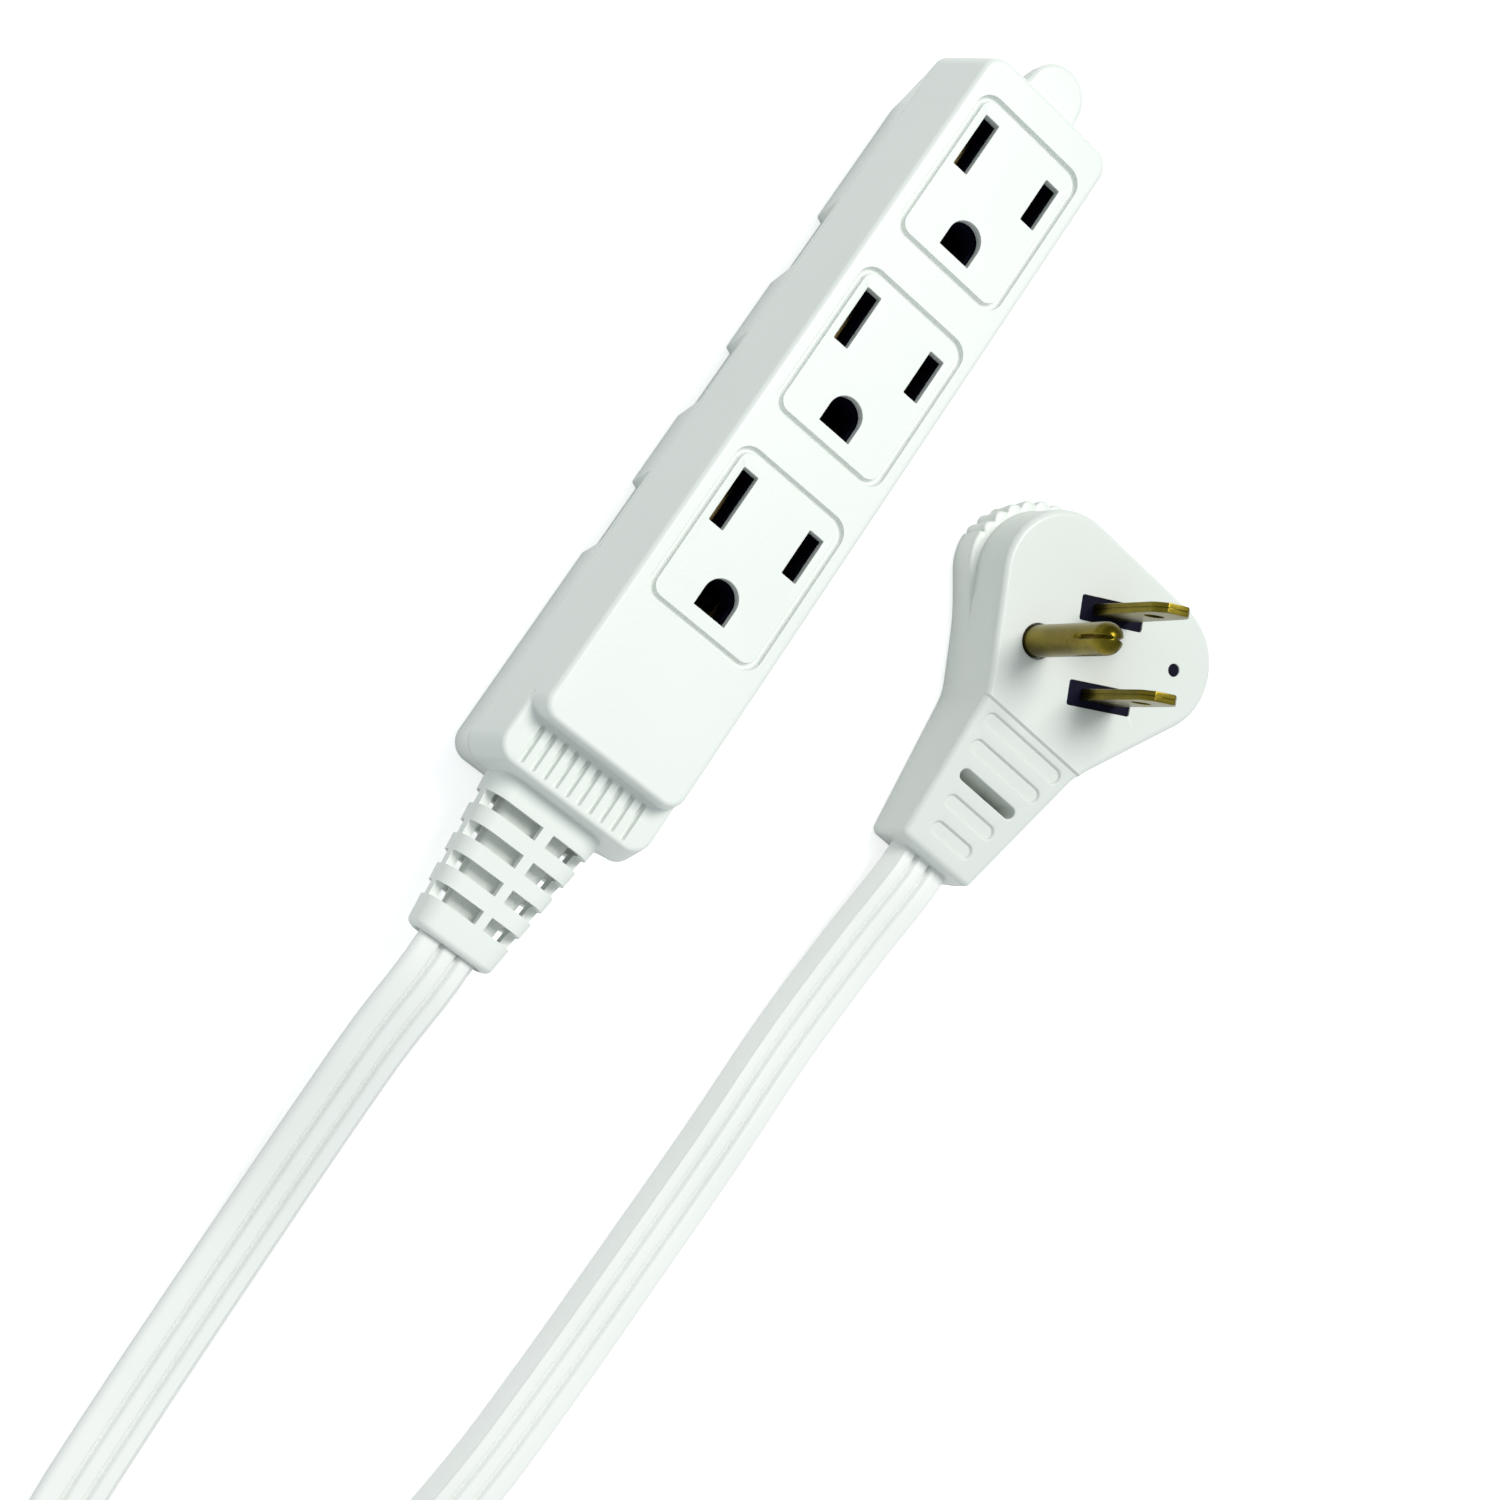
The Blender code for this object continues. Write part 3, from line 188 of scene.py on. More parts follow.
class Shell:
    """Patches of one piece, gathered in millimetres and welded where their edges meet."""

    def __init__(self, place=None):
        self.points, self.faces, self.count = [], [], 0
        self.place = place

    def add(self, points, faces):
        """More points, and faces that count from the first of them."""
        self.points.append(np.asarray(points, float).reshape(-1, 3))
        self.faces += [[int(k) + self.count for k in face] for face in faces]
        self.count += len(self.points[-1])

    def rings(self, stack, closed=True):
        """Quads from each ring of points to the next; closed joins each ring's end to its start."""
        stack = np.asarray(stack, float)
        rows, row = stack.shape[:2]
        i, j = np.meshgrid(np.arange(rows - 1), np.arange(row if closed else row - 1), indexing="ij")
        a, b = i * row + j, i * row + (j + 1) % row
        self.add(stack, np.stack([a, b, b + row, a + row], axis=-1).reshape(-1, 4))

    def cap(self, loop):
        """One face over a loop of points."""
        self.add(loop, [range(len(loop))])

    def flat(self, loops, height, creases=()):
        """The region inside an odd number of the loops, in triangles, at height(x, y)."""
        spots, edges = [], []
        for loop in loops:
            edges += [(len(spots) + i, len(spots) + (i + 1) % len(loop)) for i in range(len(loop))]
            spots += [Vector((float(p[0]), float(p[1]))) for p in loop]
        edges += list(creases)
        found, _, faces, *_ = delaunay_2d_cdt(spots, edges, [], 0, 1e-5)
        xy = np.array([tuple(p) for p in found])
        faces = np.array([list(f) for f in faces])
        middle = xy[faces].mean(axis=1)
        inside = np.zeros(len(faces), bool)
        for loop in loops:
            a = np.asarray(loop, float)[:, :2]
            b = np.roll(a, -1, axis=0)
            rise = np.where(np.abs(b[:, 1] - a[:, 1]) < 1e-12, 1e-12, b[:, 1] - a[:, 1])
            spans = (a[None, :, 1] > middle[:, None, 1]) != (b[None, :, 1] > middle[:, None, 1])
            at = a[:, 0] + (middle[:, None, 1] - a[:, 1]) * (b[:, 0] - a[:, 0]) / rise
            inside ^= (np.sum(spans & (middle[:, None, 0] < at), axis=1) % 2).astype(bool)
        z = height(xy[:, 0], xy[:, 1]) if callable(height) else np.full(len(xy), float(height))
        self.add(np.column_stack([xy, z]), faces[inside])

    def sink(self, path, profile):
        """A hollow with a floor: path(grow) is its outline, and the profile is (grow, height)."""
        stack = [at_height(path(grow), height) for grow, height in profile]
        self.rings(stack)
        self.cap(stack[-1])

    def piece(self, name, material, replaces=(), sharp=38.0):
        """The welded mesh as an object at the origin, with flat faces kept flat by weighting."""
        points = np.vstack(self.points)
        if self.place is not None:
            points = points @ np.array(self.place.to_3x3()).T + np.array(self.place.translation) / MM
        mesh = bpy.data.meshes.new(name)
        mesh.from_pydata((points * MM).tolist(), [], self.faces)
        shape = bmesh.new()
        shape.from_mesh(mesh)
        bmesh.ops.remove_doubles(shape, verts=shape.verts, dist=weld_distance)
        bmesh.ops.dissolve_degenerate(shape, edges=shape.edges, dist=shortest_edge)
        bmesh.ops.recalc_face_normals(shape, faces=shape.faces)
        shape.to_mesh(mesh)
        shape.free()
        mesh.materials.append(material)
        mesh.shade_smooth()
        mesh.set_sharp_from_angle(angle=math.radians(sharp))
        made = bpy.data.objects.new(name, mesh)
        bpy.context.scene.collection.objects.link(made)
        even = made.modifiers.new("even_shading", "WEIGHTED_NORMAL")
        even.keep_sharp = True
        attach(made, "root")
        if replaces:
            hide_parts(*replaces)
        return made


def at_height(path, z):
    """A plan path as points at one height, or at a height for each point."""
    path = np.asarray(path, float)
    return np.column_stack([path[:, :2], np.broadcast_to(z, len(path))])


def arc(cx, cy, radius, start, end, steps):
    """Points on a circle, angles in degrees, both ends included."""
    a = np.radians(np.linspace(start, end, steps + 1))
    return np.column_stack([cx + radius * np.cos(a), cy + radius * np.sin(a)])


def circle(cx, cy, radius):
    """A full circle of 24 points."""
    return arc(cx, cy, radius, 0, 345, 23)


cord_width, cord_thickness = 9.8, 3.9
lying, on_edge = cord_thickness / 2, cord_width / 2
axis_height = 12.2  # of the strain relief and the block's parting line
boot_tip = -75.9

coil_middle = np.array([54.0, -249.0])
coil_outer, coil_inner, coil_pitch = 59.4, 38.1, 4.3
coil_entry = math.radians(162)
heading = np.array([-math.sin(coil_entry), math.cos(coil_entry), 0.0])

plug_frame = Matrix.Translation((55.9 * MM, 20.4 * MM, 0)) @ Matrix.Rotation(math.radians(-1.5), 4, "Z")
plug_neck_end, plug_neck_height = -44.5, 9.8


def in_plug(u, v, z):
    """A point of the plug's own frame, in millimetres."""
    return tuple(plug_frame @ Vector((u * MM, v * MM, 0)) / MM)[:2] + (z,)


def coil_spot(radius, angle):
    """Points round the coil's middle, at the height of a cord that stands on its edge."""
    radius, angle = np.broadcast_arrays(radius, angle)
    x = coil_middle[0] + radius * np.cos(angle)
    y = coil_middle[1] + radius * np.sin(angle)
    return np.column_stack([x, y, np.full(x.shape, on_edge)])


outlet_route = [
    (0, boot_tip + 4.0, axis_height),
    (0, boot_tip - 0.3, axis_height),
    (0, -80.9, 12.1),
    (0.1, -91, 9.6),
    (1.5, -106.7, 4.9),
    (2.3, -119, 2.6),
    (2.6, -131.4, lying),
    (2.8, -146, lying),
    (3.3, -162, lying),
    (4.8, -182, lying),
    (5.2, -200, lying),
]
plug_route = [
    in_plug(0, plug_neck_end + 4.0, plug_neck_height / 2),
    in_plug(0, plug_neck_end - 0.3, plug_neck_height / 2),
    in_plug(0, plug_neck_end - 4.5, plug_neck_height / 2),
    (54.0, -40, 3.4),
    (53.3, -57.2, 2.1),
    (53.0, -74, lying),
    (52.2, -93.1, lying),
    (51.0, -116.6, lying),
    (49.4, -134.2, lying),
    (45.5, -154, lying),
    (37.0, -172, lying),
    (25.8, -188, lying),
    (14.4, -202.5, lying),
]


def turned_over(route, radius, flat_until, upright_from):
    """A free stretch's points, and how far each is turned from flat to on edge.

    The turn is a quarter times 3k^2 - 2k^3, where k runs from 0 to 1 between two places along
    Y, and the middle rises from half the thickness to half the width as the sine of the turn.
    """
    entry = coil_spot(radius, coil_entry)[0]
    points = catmull_rom(route + [tuple(entry - heading * s) for s in (18, 9, 0.55)], 3.5)
    k = np.clip((flat_until - points[:, 1]) / (flat_until - upright_from), 0, 1)
    turn = math.pi / 2 * (3 * k**2 - 2 * k**3)
    points[:, 2] = np.where(k > 0, lying + (on_edge - lying) * np.sin(turn), points[:, 2])
    return points, turn


outlet_run, outlet_turn = turned_over(outlet_route, coil_outer, -158.0, -206.0)
plug_run, plug_turn = turned_over(plug_route, coil_outer - coil_pitch, -136.0, -190.0)

# Both strands run in by two pitches a turn and meet in an S of two half circles.
points_a_turn = 88
turns_in = (coil_outer - coil_inner) / (2 * coil_pitch)
wind = coil_entry + 2 * math.pi * np.linspace(0, turns_in, int(turns_in * points_a_turn))
outer_strand = coil_spot(coil_outer - coil_pitch * (wind - coil_entry) / math.pi, wind)
turns_out = turns_in - 0.5
wind_back = coil_entry + 2 * math.pi * np.linspace(turns_out, 0, int(turns_out * points_a_turn))
inner_strand = coil_spot(coil_outer - coil_pitch - coil_pitch * (wind_back - coil_entry) / math.pi, wind_back)
bend = coil_inner / 2
half_turn = np.radians(np.arange(12, 180, 12))
s_x = np.concatenate([bend + bend * np.cos(half_turn), [0.0], -(bend + bend * np.cos(half_turn[::-1]))])
s_y = np.concatenate([bend * np.sin(half_turn), [0.0], -bend * np.sin(half_turn[::-1])])
s_turn = wind[-1]
s_bend = np.column_stack(
    [
        coil_middle[0] + s_x * math.cos(s_turn) - s_y * math.sin(s_turn),
        coil_middle[1] + s_x * math.sin(s_turn) + s_y * math.cos(s_turn),
        np.full(len(s_x), on_edge),
    ]
)
cord_path = np.vstack([outlet_run, outer_strand, s_bend, inner_strand, plug_run[::-1]])
coiled = len(outer_strand) + len(s_bend) + len(inner_strand)
cord_turn = np.concatenate([outlet_turn, np.full(coiled, math.pi / 2), plug_turn[::-1]])

jacket_corner = 1.2
groove_at, groove_depth, groove_spread = 1.35, 0.75, 0.30
half_top = np.array([0.0, 0.4, 0.7, 0.9, 1.06, 1.2, 1.35, 1.5, 1.64, 1.8, 2.05, 2.4, 2.9, 3.3, 3.65])
across = np.concatenate([-half_top[:0:-1], half_top])
crown = np.where(
    np.abs(across) < groove_at,
    0.12 * (across / groove_at) ** 2,
    0.12 * ((np.abs(across) - 2.6) / 1.2) ** 2,
)
# Height of the jacket's top: half the thickness, less a slight crown, less two bell-shaped grooves.
top_line = lying - crown - groove_depth * np.exp(-(((np.abs(across) - groove_at) / groove_spread) ** 2))
side_x = cord_width / 2 - jacket_corner
corner = arc(side_x, lying - jacket_corner, jacket_corner - 0.06, 82, 0, 5)
section = np.vstack([np.column_stack([across, top_line]), corner])
section = np.vstack([section, -section])  # the other face is the same, turned by half a turn

ahead = np.gradient(cord_path, axis=0)
ahead /= np.linalg.norm(ahead, axis=1)[:, None]
side = np.cross(ahead, (0.0, 0.0, 1.0))
side /= np.linalg.norm(side, axis=1)[:, None]
up = np.cross(side, ahead)
wide = np.cos(cord_turn)[:, None] * side + np.sin(cord_turn)[:, None] * up
thick = np.cos(cord_turn)[:, None] * up - np.sin(cord_turn)[:, None] * side
cord_rings = (
    cord_path[:, None, :]
    + section[None, :, 0, None] * wide[:, None, :]
    + section[None, :, 1, None] * thick[:, None, :]
)

cord_vinyl = plastic("cord_vinyl", (0.87, 0.885, 0.865), (0.83, 0.85, 0.825), 0.36, 900.0, 0.000006, 22.0)
cord_shell = Shell()
cord_shell.rings(cord_rings)
cord_shell.cap(cord_rings[0])
cord_shell.cap(cord_rings[-1])
flat_cord = cord_shell.piece(
    "flat_cord", cord_vinyl, ("cord_outlet_end", "cord_plug_end", "cord_coil"), 60.0
)


# ---------------------------------------------------------------- block: common outline
# The block is a long box with rounded upright corners.  Its walls lean in from the parting line
# to the face and to the base, and its far end leans in more below than above.

near_end, far_end = -53.3, 70.2
block_height, split = 24.4, 12.2
corner_radius = 3.0
step_at = -45.2  # where the face ends and the ledge begins
step_corner = 2.5
join_at = step_at + step_corner
ledge_height = 20.4
first_outlet, outlet_pitch = 55.9, 31.2
outlet_lines = [round(first_outlet - outlet_pitch * i, 1) for i in range(3)]
blade_spacing, blade_to_ground = 12.7, 11.9


def block_walls(z):
    """Half width, near end and far end at a height: straight lines to the face and the base."""
    up_share = max(z - split, 0.0) / (block_height - split)
    down_share = max(split - z, 0.0) / split
    half = 14.4 - 2.65 * up_share - 1.9 * down_share
    return half, near_end + 1.5 * up_share + 1.0 * down_share, far_end - 1.5 * up_share - 4.2 * down_share


def block_path(z, inset=0.0, marks=(join_at,)):
    """The outline at a height, from the near right corner round, with marks on both sides."""
    half, near, far = block_walls(z)
    r = max(corner_radius - inset, 0.6)
    x, y0, y1 = half - inset - r, near + inset + r, far - inset - r
    marks = np.asarray(marks, float)
    return np.vstack(
        [
            arc(x, y0, r, -90, 0, 8),
            np.column_stack([np.full(len(marks), half - inset), marks]),
            arc(x, y1, r, 0, 90, 8),
            arc(-x, y1, r, 90, 180, 8),
            np.column_stack([np.full(len(marks), inset - half), marks[::-1]]),
            arc(-x, y0, r, 180, 270, 8),
        ]
    )


def face_path(z, inset=0.0, flare=0.0):
    """The raised part's outline: the block's, but ending at the step in two small corners.

    The flare moves the step's wall out, by the sine of the corner's angle, for its fillet.
    """
    half, _, far = block_walls(z)
    r = max(corner_radius - inset, 0.6)
    x, y1 = half - inset - r, far - inset - r

    def step_arc(cx, start, end):
        """One of the two corners, its radius longer by the flare where it faces the cord."""
        a = np.radians(np.linspace(start, end, 9))
        reach = step_corner - inset + flare * np.clip(-np.sin(a), 0, 1)
        return np.column_stack([cx + reach * np.cos(a), join_at + reach * np.sin(a)])

    return np.vstack(
        [
            step_arc(half - step_corner, -90, 0),
            arc(x, y1, r, 0, 90, 8),
            arc(-x, y1, r, 90, 180, 8),
            step_arc(step_corner - half, 180, 270),
        ]
    )


def edge_round(radius, steps):
    """(inset, drop) along a quarter circle from a wall to the flat above it."""
    a = np.linspace(0, math.pi / 2, steps + 1)
    return list(zip(radius * (1 - np.cos(a)), radius * (1 - np.sin(a))))


# ---------------------------------------------------------------- block: cover with the outlets
# The upper half, injection moulded in white ABS: an outlet face with three grooved frames, the
# stepped and ribbed ledge at the cord's end, and the hanging tab.  Three screws hold it down.

abs_white = plastic("abs_white", (0.81, 0.84, 0.81), (0.785, 0.82, 0.79), 0.34, 1500.0, 0.000012)

wall, face_thickness = 1.9, 1.3
ceiling = block_height - face_thickness
under_ledge = ledge_height - face_thickness
seam = 0.03
face_edge, ledge_edge = 0.65, 0.5
fillet = 0.4

# the outlines' points at the cord's end, at the far end, and along the step's wall
near_rows = list(range(28, 38)) + list(range(0, 10))
far_rows = list(range(9, 29))
step_rows = list(range(8, -1, -1)) + list(range(35, 26, -1))

cover = Shell()
low = split + seam
cover.rings(
    [at_height(block_path(low + d, 0.12 - i), low + d) for i, d in ((0.0, 0.0), (0.12, 0.12))]
    + [at_height(block_path(z), z) for z in (15.0, 18.0, ledge_height - ledge_edge)]
)
beside_ledge = (ledge_height - ledge_edge, ledge_height)
cover.rings([at_height(block_path(z), z)[far_rows] for z in beside_ledge], False)
lip = np.array(
    [
        at_height(block_path(ledge_height - d, i), ledge_height - d)[near_rows]
        for i, d in edge_round(ledge_edge, 6)
    ]
)
cover.rings(lip, False)
rising = []
for a in np.linspace(0, math.pi / 2, 6):
    z = ledge_height + fillet * (1 - math.cos(a))
    rising.append(at_height(face_path(z, 0, fillet * (1 - math.sin(a))), z))
for inset, drop in edge_round(face_edge, 8):
    rising.append(at_height(face_path(block_height - drop, inset), block_height - drop))
cover.rings(rising)
foot = rising[0][step_rows]
for column, corner_point in ((0, foot[-1]), (-1, foot[0])):
    cover.cap(np.vstack([lip[:, column], corner_point[None]]))

rib_pitch, ribs, rib_half = 1.95, 10, 0.42
rib_near, rib_far = -51.6, step_at - fillet - 0.05
rib_profile = [(0, 0.0), (-0.05, 0.15), (-0.2, 0.7), (-0.36, 0.8)]  # (grow, depth)


def rib_path(x):
    """A long pill along Y round the line at x, as a function that moves it out by grow."""

    def path(grow):
        r = rib_half + grow
        far_arc = arc(x, rib_far - rib_half, r, 0, 180, 6)
        return np.vstack([far_arc, arc(x, rib_near + rib_half, r, 180, 360, 6)])

    return path


rib_paths = [rib_path((i - (ribs - 1) / 2) * rib_pitch) for i in range(ribs)]
cover.flat([np.vstack([lip[-1], foot])] + [path(0) for path in rib_paths], ledge_height)
for path in rib_paths:
    cover.sink(path, [(grow, ledge_height - depth) for grow, depth in rib_profile])


def rounded_box(x0, x1, y0, y1, r, steps):
    """A rectangle with four round corners, from its lower right corner round."""
    return np.vstack(
        [
            arc(x1 - r, y0 + r, r, -90, 0, steps),
            arc(x1 - r, y1 - r, r, 0, 90, steps),
            arc(x0 + r, y1 - r, r, 90, 180, steps),
            arc(x0 + r, y0 + r, r, 180, 270, steps),
        ]
    )


def frame_path(line, grow):
    """The centre line of an outlet's groove, 18.6 by 24.4 mm, moved out by grow."""
    middle = line - 5.1
    return rounded_box(-9.3 - grow, 9.3 + grow, middle - 12.2 - grow, middle + 12.2 + grow, 2.2 + grow, 8)


def slot_path(x, line, length, grow):
    """A blade's slot, 2.5 mm wide, moved out by grow."""
    w, h = 1.25 + grow, length / 2 + grow
    return rounded_box(x - w, x + w, line - h, line + h, 0.12 + grow, 2)


def ground_path(line, grow):
    """The ground pin's D: round towards the blades and flat towards the cord."""
    y, r = line - blade_to_ground, 2.7 + grow
    flat = y - 2.8 - grow
    return np.vstack([arc(0, y, r, 0, 180, 24), [(-r, flat)], [(r, flat)]])


groove_half, frame_depth = 0.52, 0.85
groove_line = np.linspace(math.pi, 0, 11)
hole_lip = [(0.13, 0.0), (0.04, 0.04), (0.0, 0.13)]
holes = []
for line in outlet_lines:
    for x, length in ((-blade_spacing / 2, 8.8), (blade_spacing / 2, 7.2)):
        holes.append(lambda grow, x=x, line=line, length=length: slot_path(x, line, length, grow))
    holes.append(lambda grow, line=line: ground_path(line, grow))
cover.flat([rising[-1]] + [frame_path(line, groove_half) for line in outlet_lines], block_height)
for k, line in enumerate(outlet_lines):
    # the groove's depth follows the sine of the way across it, so its lips are nearly upright
    groove = []
    for a in groove_line:
        z = block_height - frame_depth * math.sin(a) ** 0.6
        groove.append(at_height(frame_path(line, -groove_half * math.cos(a)), z))
    cover.rings(groove)
    mouths = [hole(hole_lip[0][0]) for hole in holes[3 * k : 3 * k + 3]]
    cover.flat([frame_path(line, -groove_half)] + mouths, block_height)
for hole in holes:
    mouth = [at_height(hole(grow), block_height - drop) for grow, drop in hole_lip]
    cover.rings(mouth + [at_height(hole(0), ceiling)])

# inside: the walls, the underside of the ledge and the ceiling
inner_low = [at_height(block_path(z, wall), z) for z in (low, under_ledge)]
inner_high = [at_height(face_path(z, wall), z) for z in (under_ledge, ceiling)]
cover.rings([at_height(block_path(low, 0.12), low), inner_low[0]])
cover.rings(inner_low)
cover.rings(inner_high)
cover.flat([np.vstack([inner_low[1][near_rows], inner_high[0][step_rows]])], under_ledge)
cover.flat([inner_high[1]] + [hole(0) for hole in holes], ceiling)

# the tab: a round-ended tongue with soft edges that widens a little where it meets the wall
tab_top, tab_thickness, tab_radius = 22.4, 4.0, 4.7
tab_middle = far_end + 1.0


def tab_path(inset):
    """Half a circle on two sides that spread by a falling exponential towards the wall."""
    sides = np.linspace(-1.2, 1.0, 8)
    spread = tab_radius - inset + 0.9 * np.exp(-((sides + 1.2) / 0.7))
    right = np.column_stack([spread, far_end + sides])
    left = np.column_stack([-spread, far_end + sides])[::-1]
    return np.vstack([right, arc(0, tab_middle, tab_radius - inset, 0, 180, 28)[1:-1], left])


tab_edge = edge_round(0.8, 5)
tab_stack = [at_height(tab_path(i), tab_top - tab_thickness + d) for i, d in tab_edge[::-1]]
tab_stack += [at_height(tab_path(i), tab_top - d) for i, d in tab_edge]
cover.rings(tab_stack)
cover.cap(tab_stack[0])
cover.cap(tab_stack[-1])

# three bosses for the screws
screw_places = ((0.0, 61.8), (-8.2, -37.7), (8.2, -37.7))
screw_bore, boss_radius, boss_low = 1.6, 2.9, split + 0.9
boss = [(screw_bore, boss_low), (boss_radius, boss_low), (boss_radius, ceiling), (screw_bore, ceiling)]
for x, y in screw_places:
    cover.rings([at_height(circle(x, y, r), z) for r, z in boss + boss[:1]])

cover.piece("outlet_cover", abs_white, ("top_cover",))


# ---------------------------------------------------------------- block: base shell
# The lower half, a tray moulded in the same ABS, with three shallow finger recesses on each side
# and a counterbored post for each screw.  Its rim stands a hair proud of the cover.

base_wall, floor_thickness = 2.9, 2.2
recess_depth, recess_length, recess_corner = 1.0, 12.2, 1.1
recess_middles = (36.5, 12.0, -12.5)
recess_tops = (10.6, 11.7, 10.6)
recess_edge = 0.45

# the wall's points lie close together along the recesses' edges
near_steps = np.array([-0.5, -0.3, -0.15, 0, 0.15, 0.3, 0.5, 0.8, 1.15, 1.6])
marks = [[join_at]]
for middle in recess_middles:
    marks += [middle - recess_length / 2 + near_steps, middle + recess_length / 2 - near_steps]
marks = np.sort(np.concatenate(marks))
wall_heights = (1.3, 2.5, 4.5, 6.5, 8.2, 9.0, 9.4, 9.7, 10.0, 10.3, 10.6, 10.9, 11.2, 11.5, 11.75, 12.0)
levels = [(drop, inset) for inset, drop in edge_round(0.8, 5)[::-1]]  # (height, inset)
levels += [(z, 0.0) for z in wall_heights]
levels += [(split - 0.13, -0.06), (split, 0.05)]


def recess_inset(y, z):
    """Depth of the finger recesses: full inside a round-cornered window, fading over its edge.

    The window's signed distance is the length of what sticks out of the shrunk window, less
    the corner's radius, and the depth is 3k^2 - 2k^3 of the way through the edge.
    """
    deepest = np.zeros_like(y)
    for middle, top in zip(recess_middles, recess_tops):
        across = np.abs(y - middle) - (recess_length / 2 - recess_corner)
        above = z - (top - recess_corner)
        away = np.hypot(np.clip(across, 0, None), np.clip(above, 0, None))
        away += np.minimum(np.maximum(across, above), 0) - recess_corner
        k = np.clip(0.5 - away / recess_edge, 0, 1)
        deepest = np.maximum(deepest, recess_depth * (3 * k**2 - 2 * k**3))
    return deepest


base = Shell()
outside = []
for z, inset in levels:
    ring = at_height(block_path(z, inset, marks), z)
    on_side = np.zeros(len(ring), bool)
    on_side[9 : 9 + len(marks)] = True
    on_side[27 + len(marks) : 27 + 2 * len(marks)] = True
    ring[on_side, 0] -= np.sign(ring[on_side, 0]) * recess_inset(ring[on_side, 1], z)
    outside.append(ring)
base.rings(outside)
inside_low = at_height(block_path(floor_thickness, base_wall, marks), floor_thickness)
inside_high = at_height(block_path(split, base_wall - 1.0, marks), split)
base.rings([outside[-1], inside_high, inside_low])
mouth_radius, head_bore, post_radius = 3.3, 3.1, 3.9
head_seat, post_top = 3.0, 5.2
post = [(mouth_radius, 0.0), (head_bore, 0.2), (head_bore, head_seat), (screw_bore, head_seat)]
post += [(screw_bore, post_top), (post_radius, post_top), (post_radius, floor_thickness)]
bores = [circle(x, y, mouth_radius) for x, y in screw_places]
posts = [circle(x, y, post_radius) for x, y in screw_places]
for x, y in screw_places:
    base.rings([at_height(circle(x, y, r), z) for r, z in post])
base.flat([outside[0]] + bores, 0.0)
base.flat([inside_low] + posts, floor_thickness)
base.piece("base_tray", abs_white, ("base_shell",))


# ---------------------------------------------------------------- strain relief
# A soft vinyl sleeve moulded round the cord where it leaves the block.  Four rows of slots let
# it bend; each row is a long and a short slot with a web between them, turned on the underside.

boot_root_y, boot_length = near_end + 0.9, 22.6
boot_round, boot_wall = 0.9, 1.35
web_low, web_high = 0.02, 0.34  # as shares of the straight part of the top
slot_rows = [(near_end - 3.7 - 4.5 * i, 1.05) for i in range(4)]

boot_ys, boot_insets = [boot_root_y, near_end - 0.5], [0.0, 0.0]
for middle, half in slot_rows:
    boot_ys += [middle + half, middle - half]
    boot_insets += [0.0, 0.0]
for inset, drop in edge_round(boot_round, 5):
    boot_ys.append(boot_tip + drop)
    boot_insets.append(inset)
boot_ys, boot_insets = np.array(boot_ys), np.array(boot_insets)

top_shares = np.array([1.0, 0.7, web_high, web_low, -0.35, -0.7, -1.0])
side_shares = np.array([-1.0, -0.3, 0.3, 1.0])


def boot_ring(y, inset):
    """The sleeve's section at y: a rounded rectangle that tapers evenly to the tip."""
    k = np.clip((y - boot_tip) / boot_length, 0, 1)
    w = (12.6 + k * 5.0) / 2 - inset
    h = (7.0 + k * 2.6) / 2 - inset
    r = min(2.3 + 0.7 * k, h - 0.5)
    quarter = np.radians(np.linspace(0, 90, 7)[1:-1])
    right = np.column_stack([np.full(4, w), side_shares * (h - r)])
    corner = np.column_stack([w - r + r * np.cos(quarter), h - r + r * np.sin(quarter)])
    top = np.column_stack([top_shares * (w - r), np.full(7, h)])
    left_corner = corner[::-1] * (-1, 1)
    half_ring = np.vstack([right, corner, top, left_corner])
    ring = np.vstack([half_ring, -half_ring])
    return np.column_stack([ring[:, 0], np.full(len(ring), y), axis_height + ring[:, 1]])


boot_rings = np.array([boot_ring(y, inset) for y, inset in zip(boot_ys, boot_insets)])
columns = boot_rings.shape[1]
row_of = np.arange(len(boot_ys) - 1)
is_slot_row = np.isin(row_of, [2 + 2 * i for i in range(4)])
half_columns = columns // 2
column_of = np.arange(columns) % half_columns
# columns of each half: 4 of the side, 5 of the corner, 7 of the top, 5 of the next corner
is_slot_column = ((column_of >= 2) & (column_of < 11)) | (column_of >= 12)
is_slot_column |= column_of == half_columns - 1
i, j = np.meshgrid(row_of, np.arange(columns), indexing="ij")
kept = ~(is_slot_row[i] & is_slot_column[j])
a, b = i * columns + j, i * columns + (j + 1) % columns
boot = Shell()
boot.add(boot_rings, np.stack([a, b, b + columns, a + columns], axis=-1)[kept])
core_inset = 2.7
core_rings = [boot_ring(y, core_inset) for y in np.linspace(boot_root_y, boot_tip + 4.5, 4)]
sheath = Shell()
sheath.rings(core_rings)
sheath.cap(core_rings[0])
sheath.cap(core_rings[-1])
boot_vinyl = plastic("boot_vinyl", (0.83, 0.86, 0.83), (0.80, 0.835, 0.80), 0.42, 1200.0, 0.000015)
strain_relief = boot.piece("strain_relief", boot_vinyl, ("cord_boot",), 50.0)
sheath.piece("boot_core", boot_vinyl)
thicken = strain_relief.modifiers.new("wall", "SOLIDIFY")
thicken.thickness = boot_wall * MM
thicken.offset = -1.0
soften = strain_relief.modifiers.new("soft_edges", "BEVEL")
soften.width = 0.22 * MM
soften.segments = 2
soften.limit_method = "ANGLE"
soften.angle_limit = math.radians(50)
strain_relief.modifiers.move(0, 2)


# ---------------------------------------------------------------- plug body
# Soft white vinyl moulded round the prongs: a flat, wide head that turns the cord aside, with a
# grip layer scalloped at its shoulders behind, and a sloping neck with five pockets.

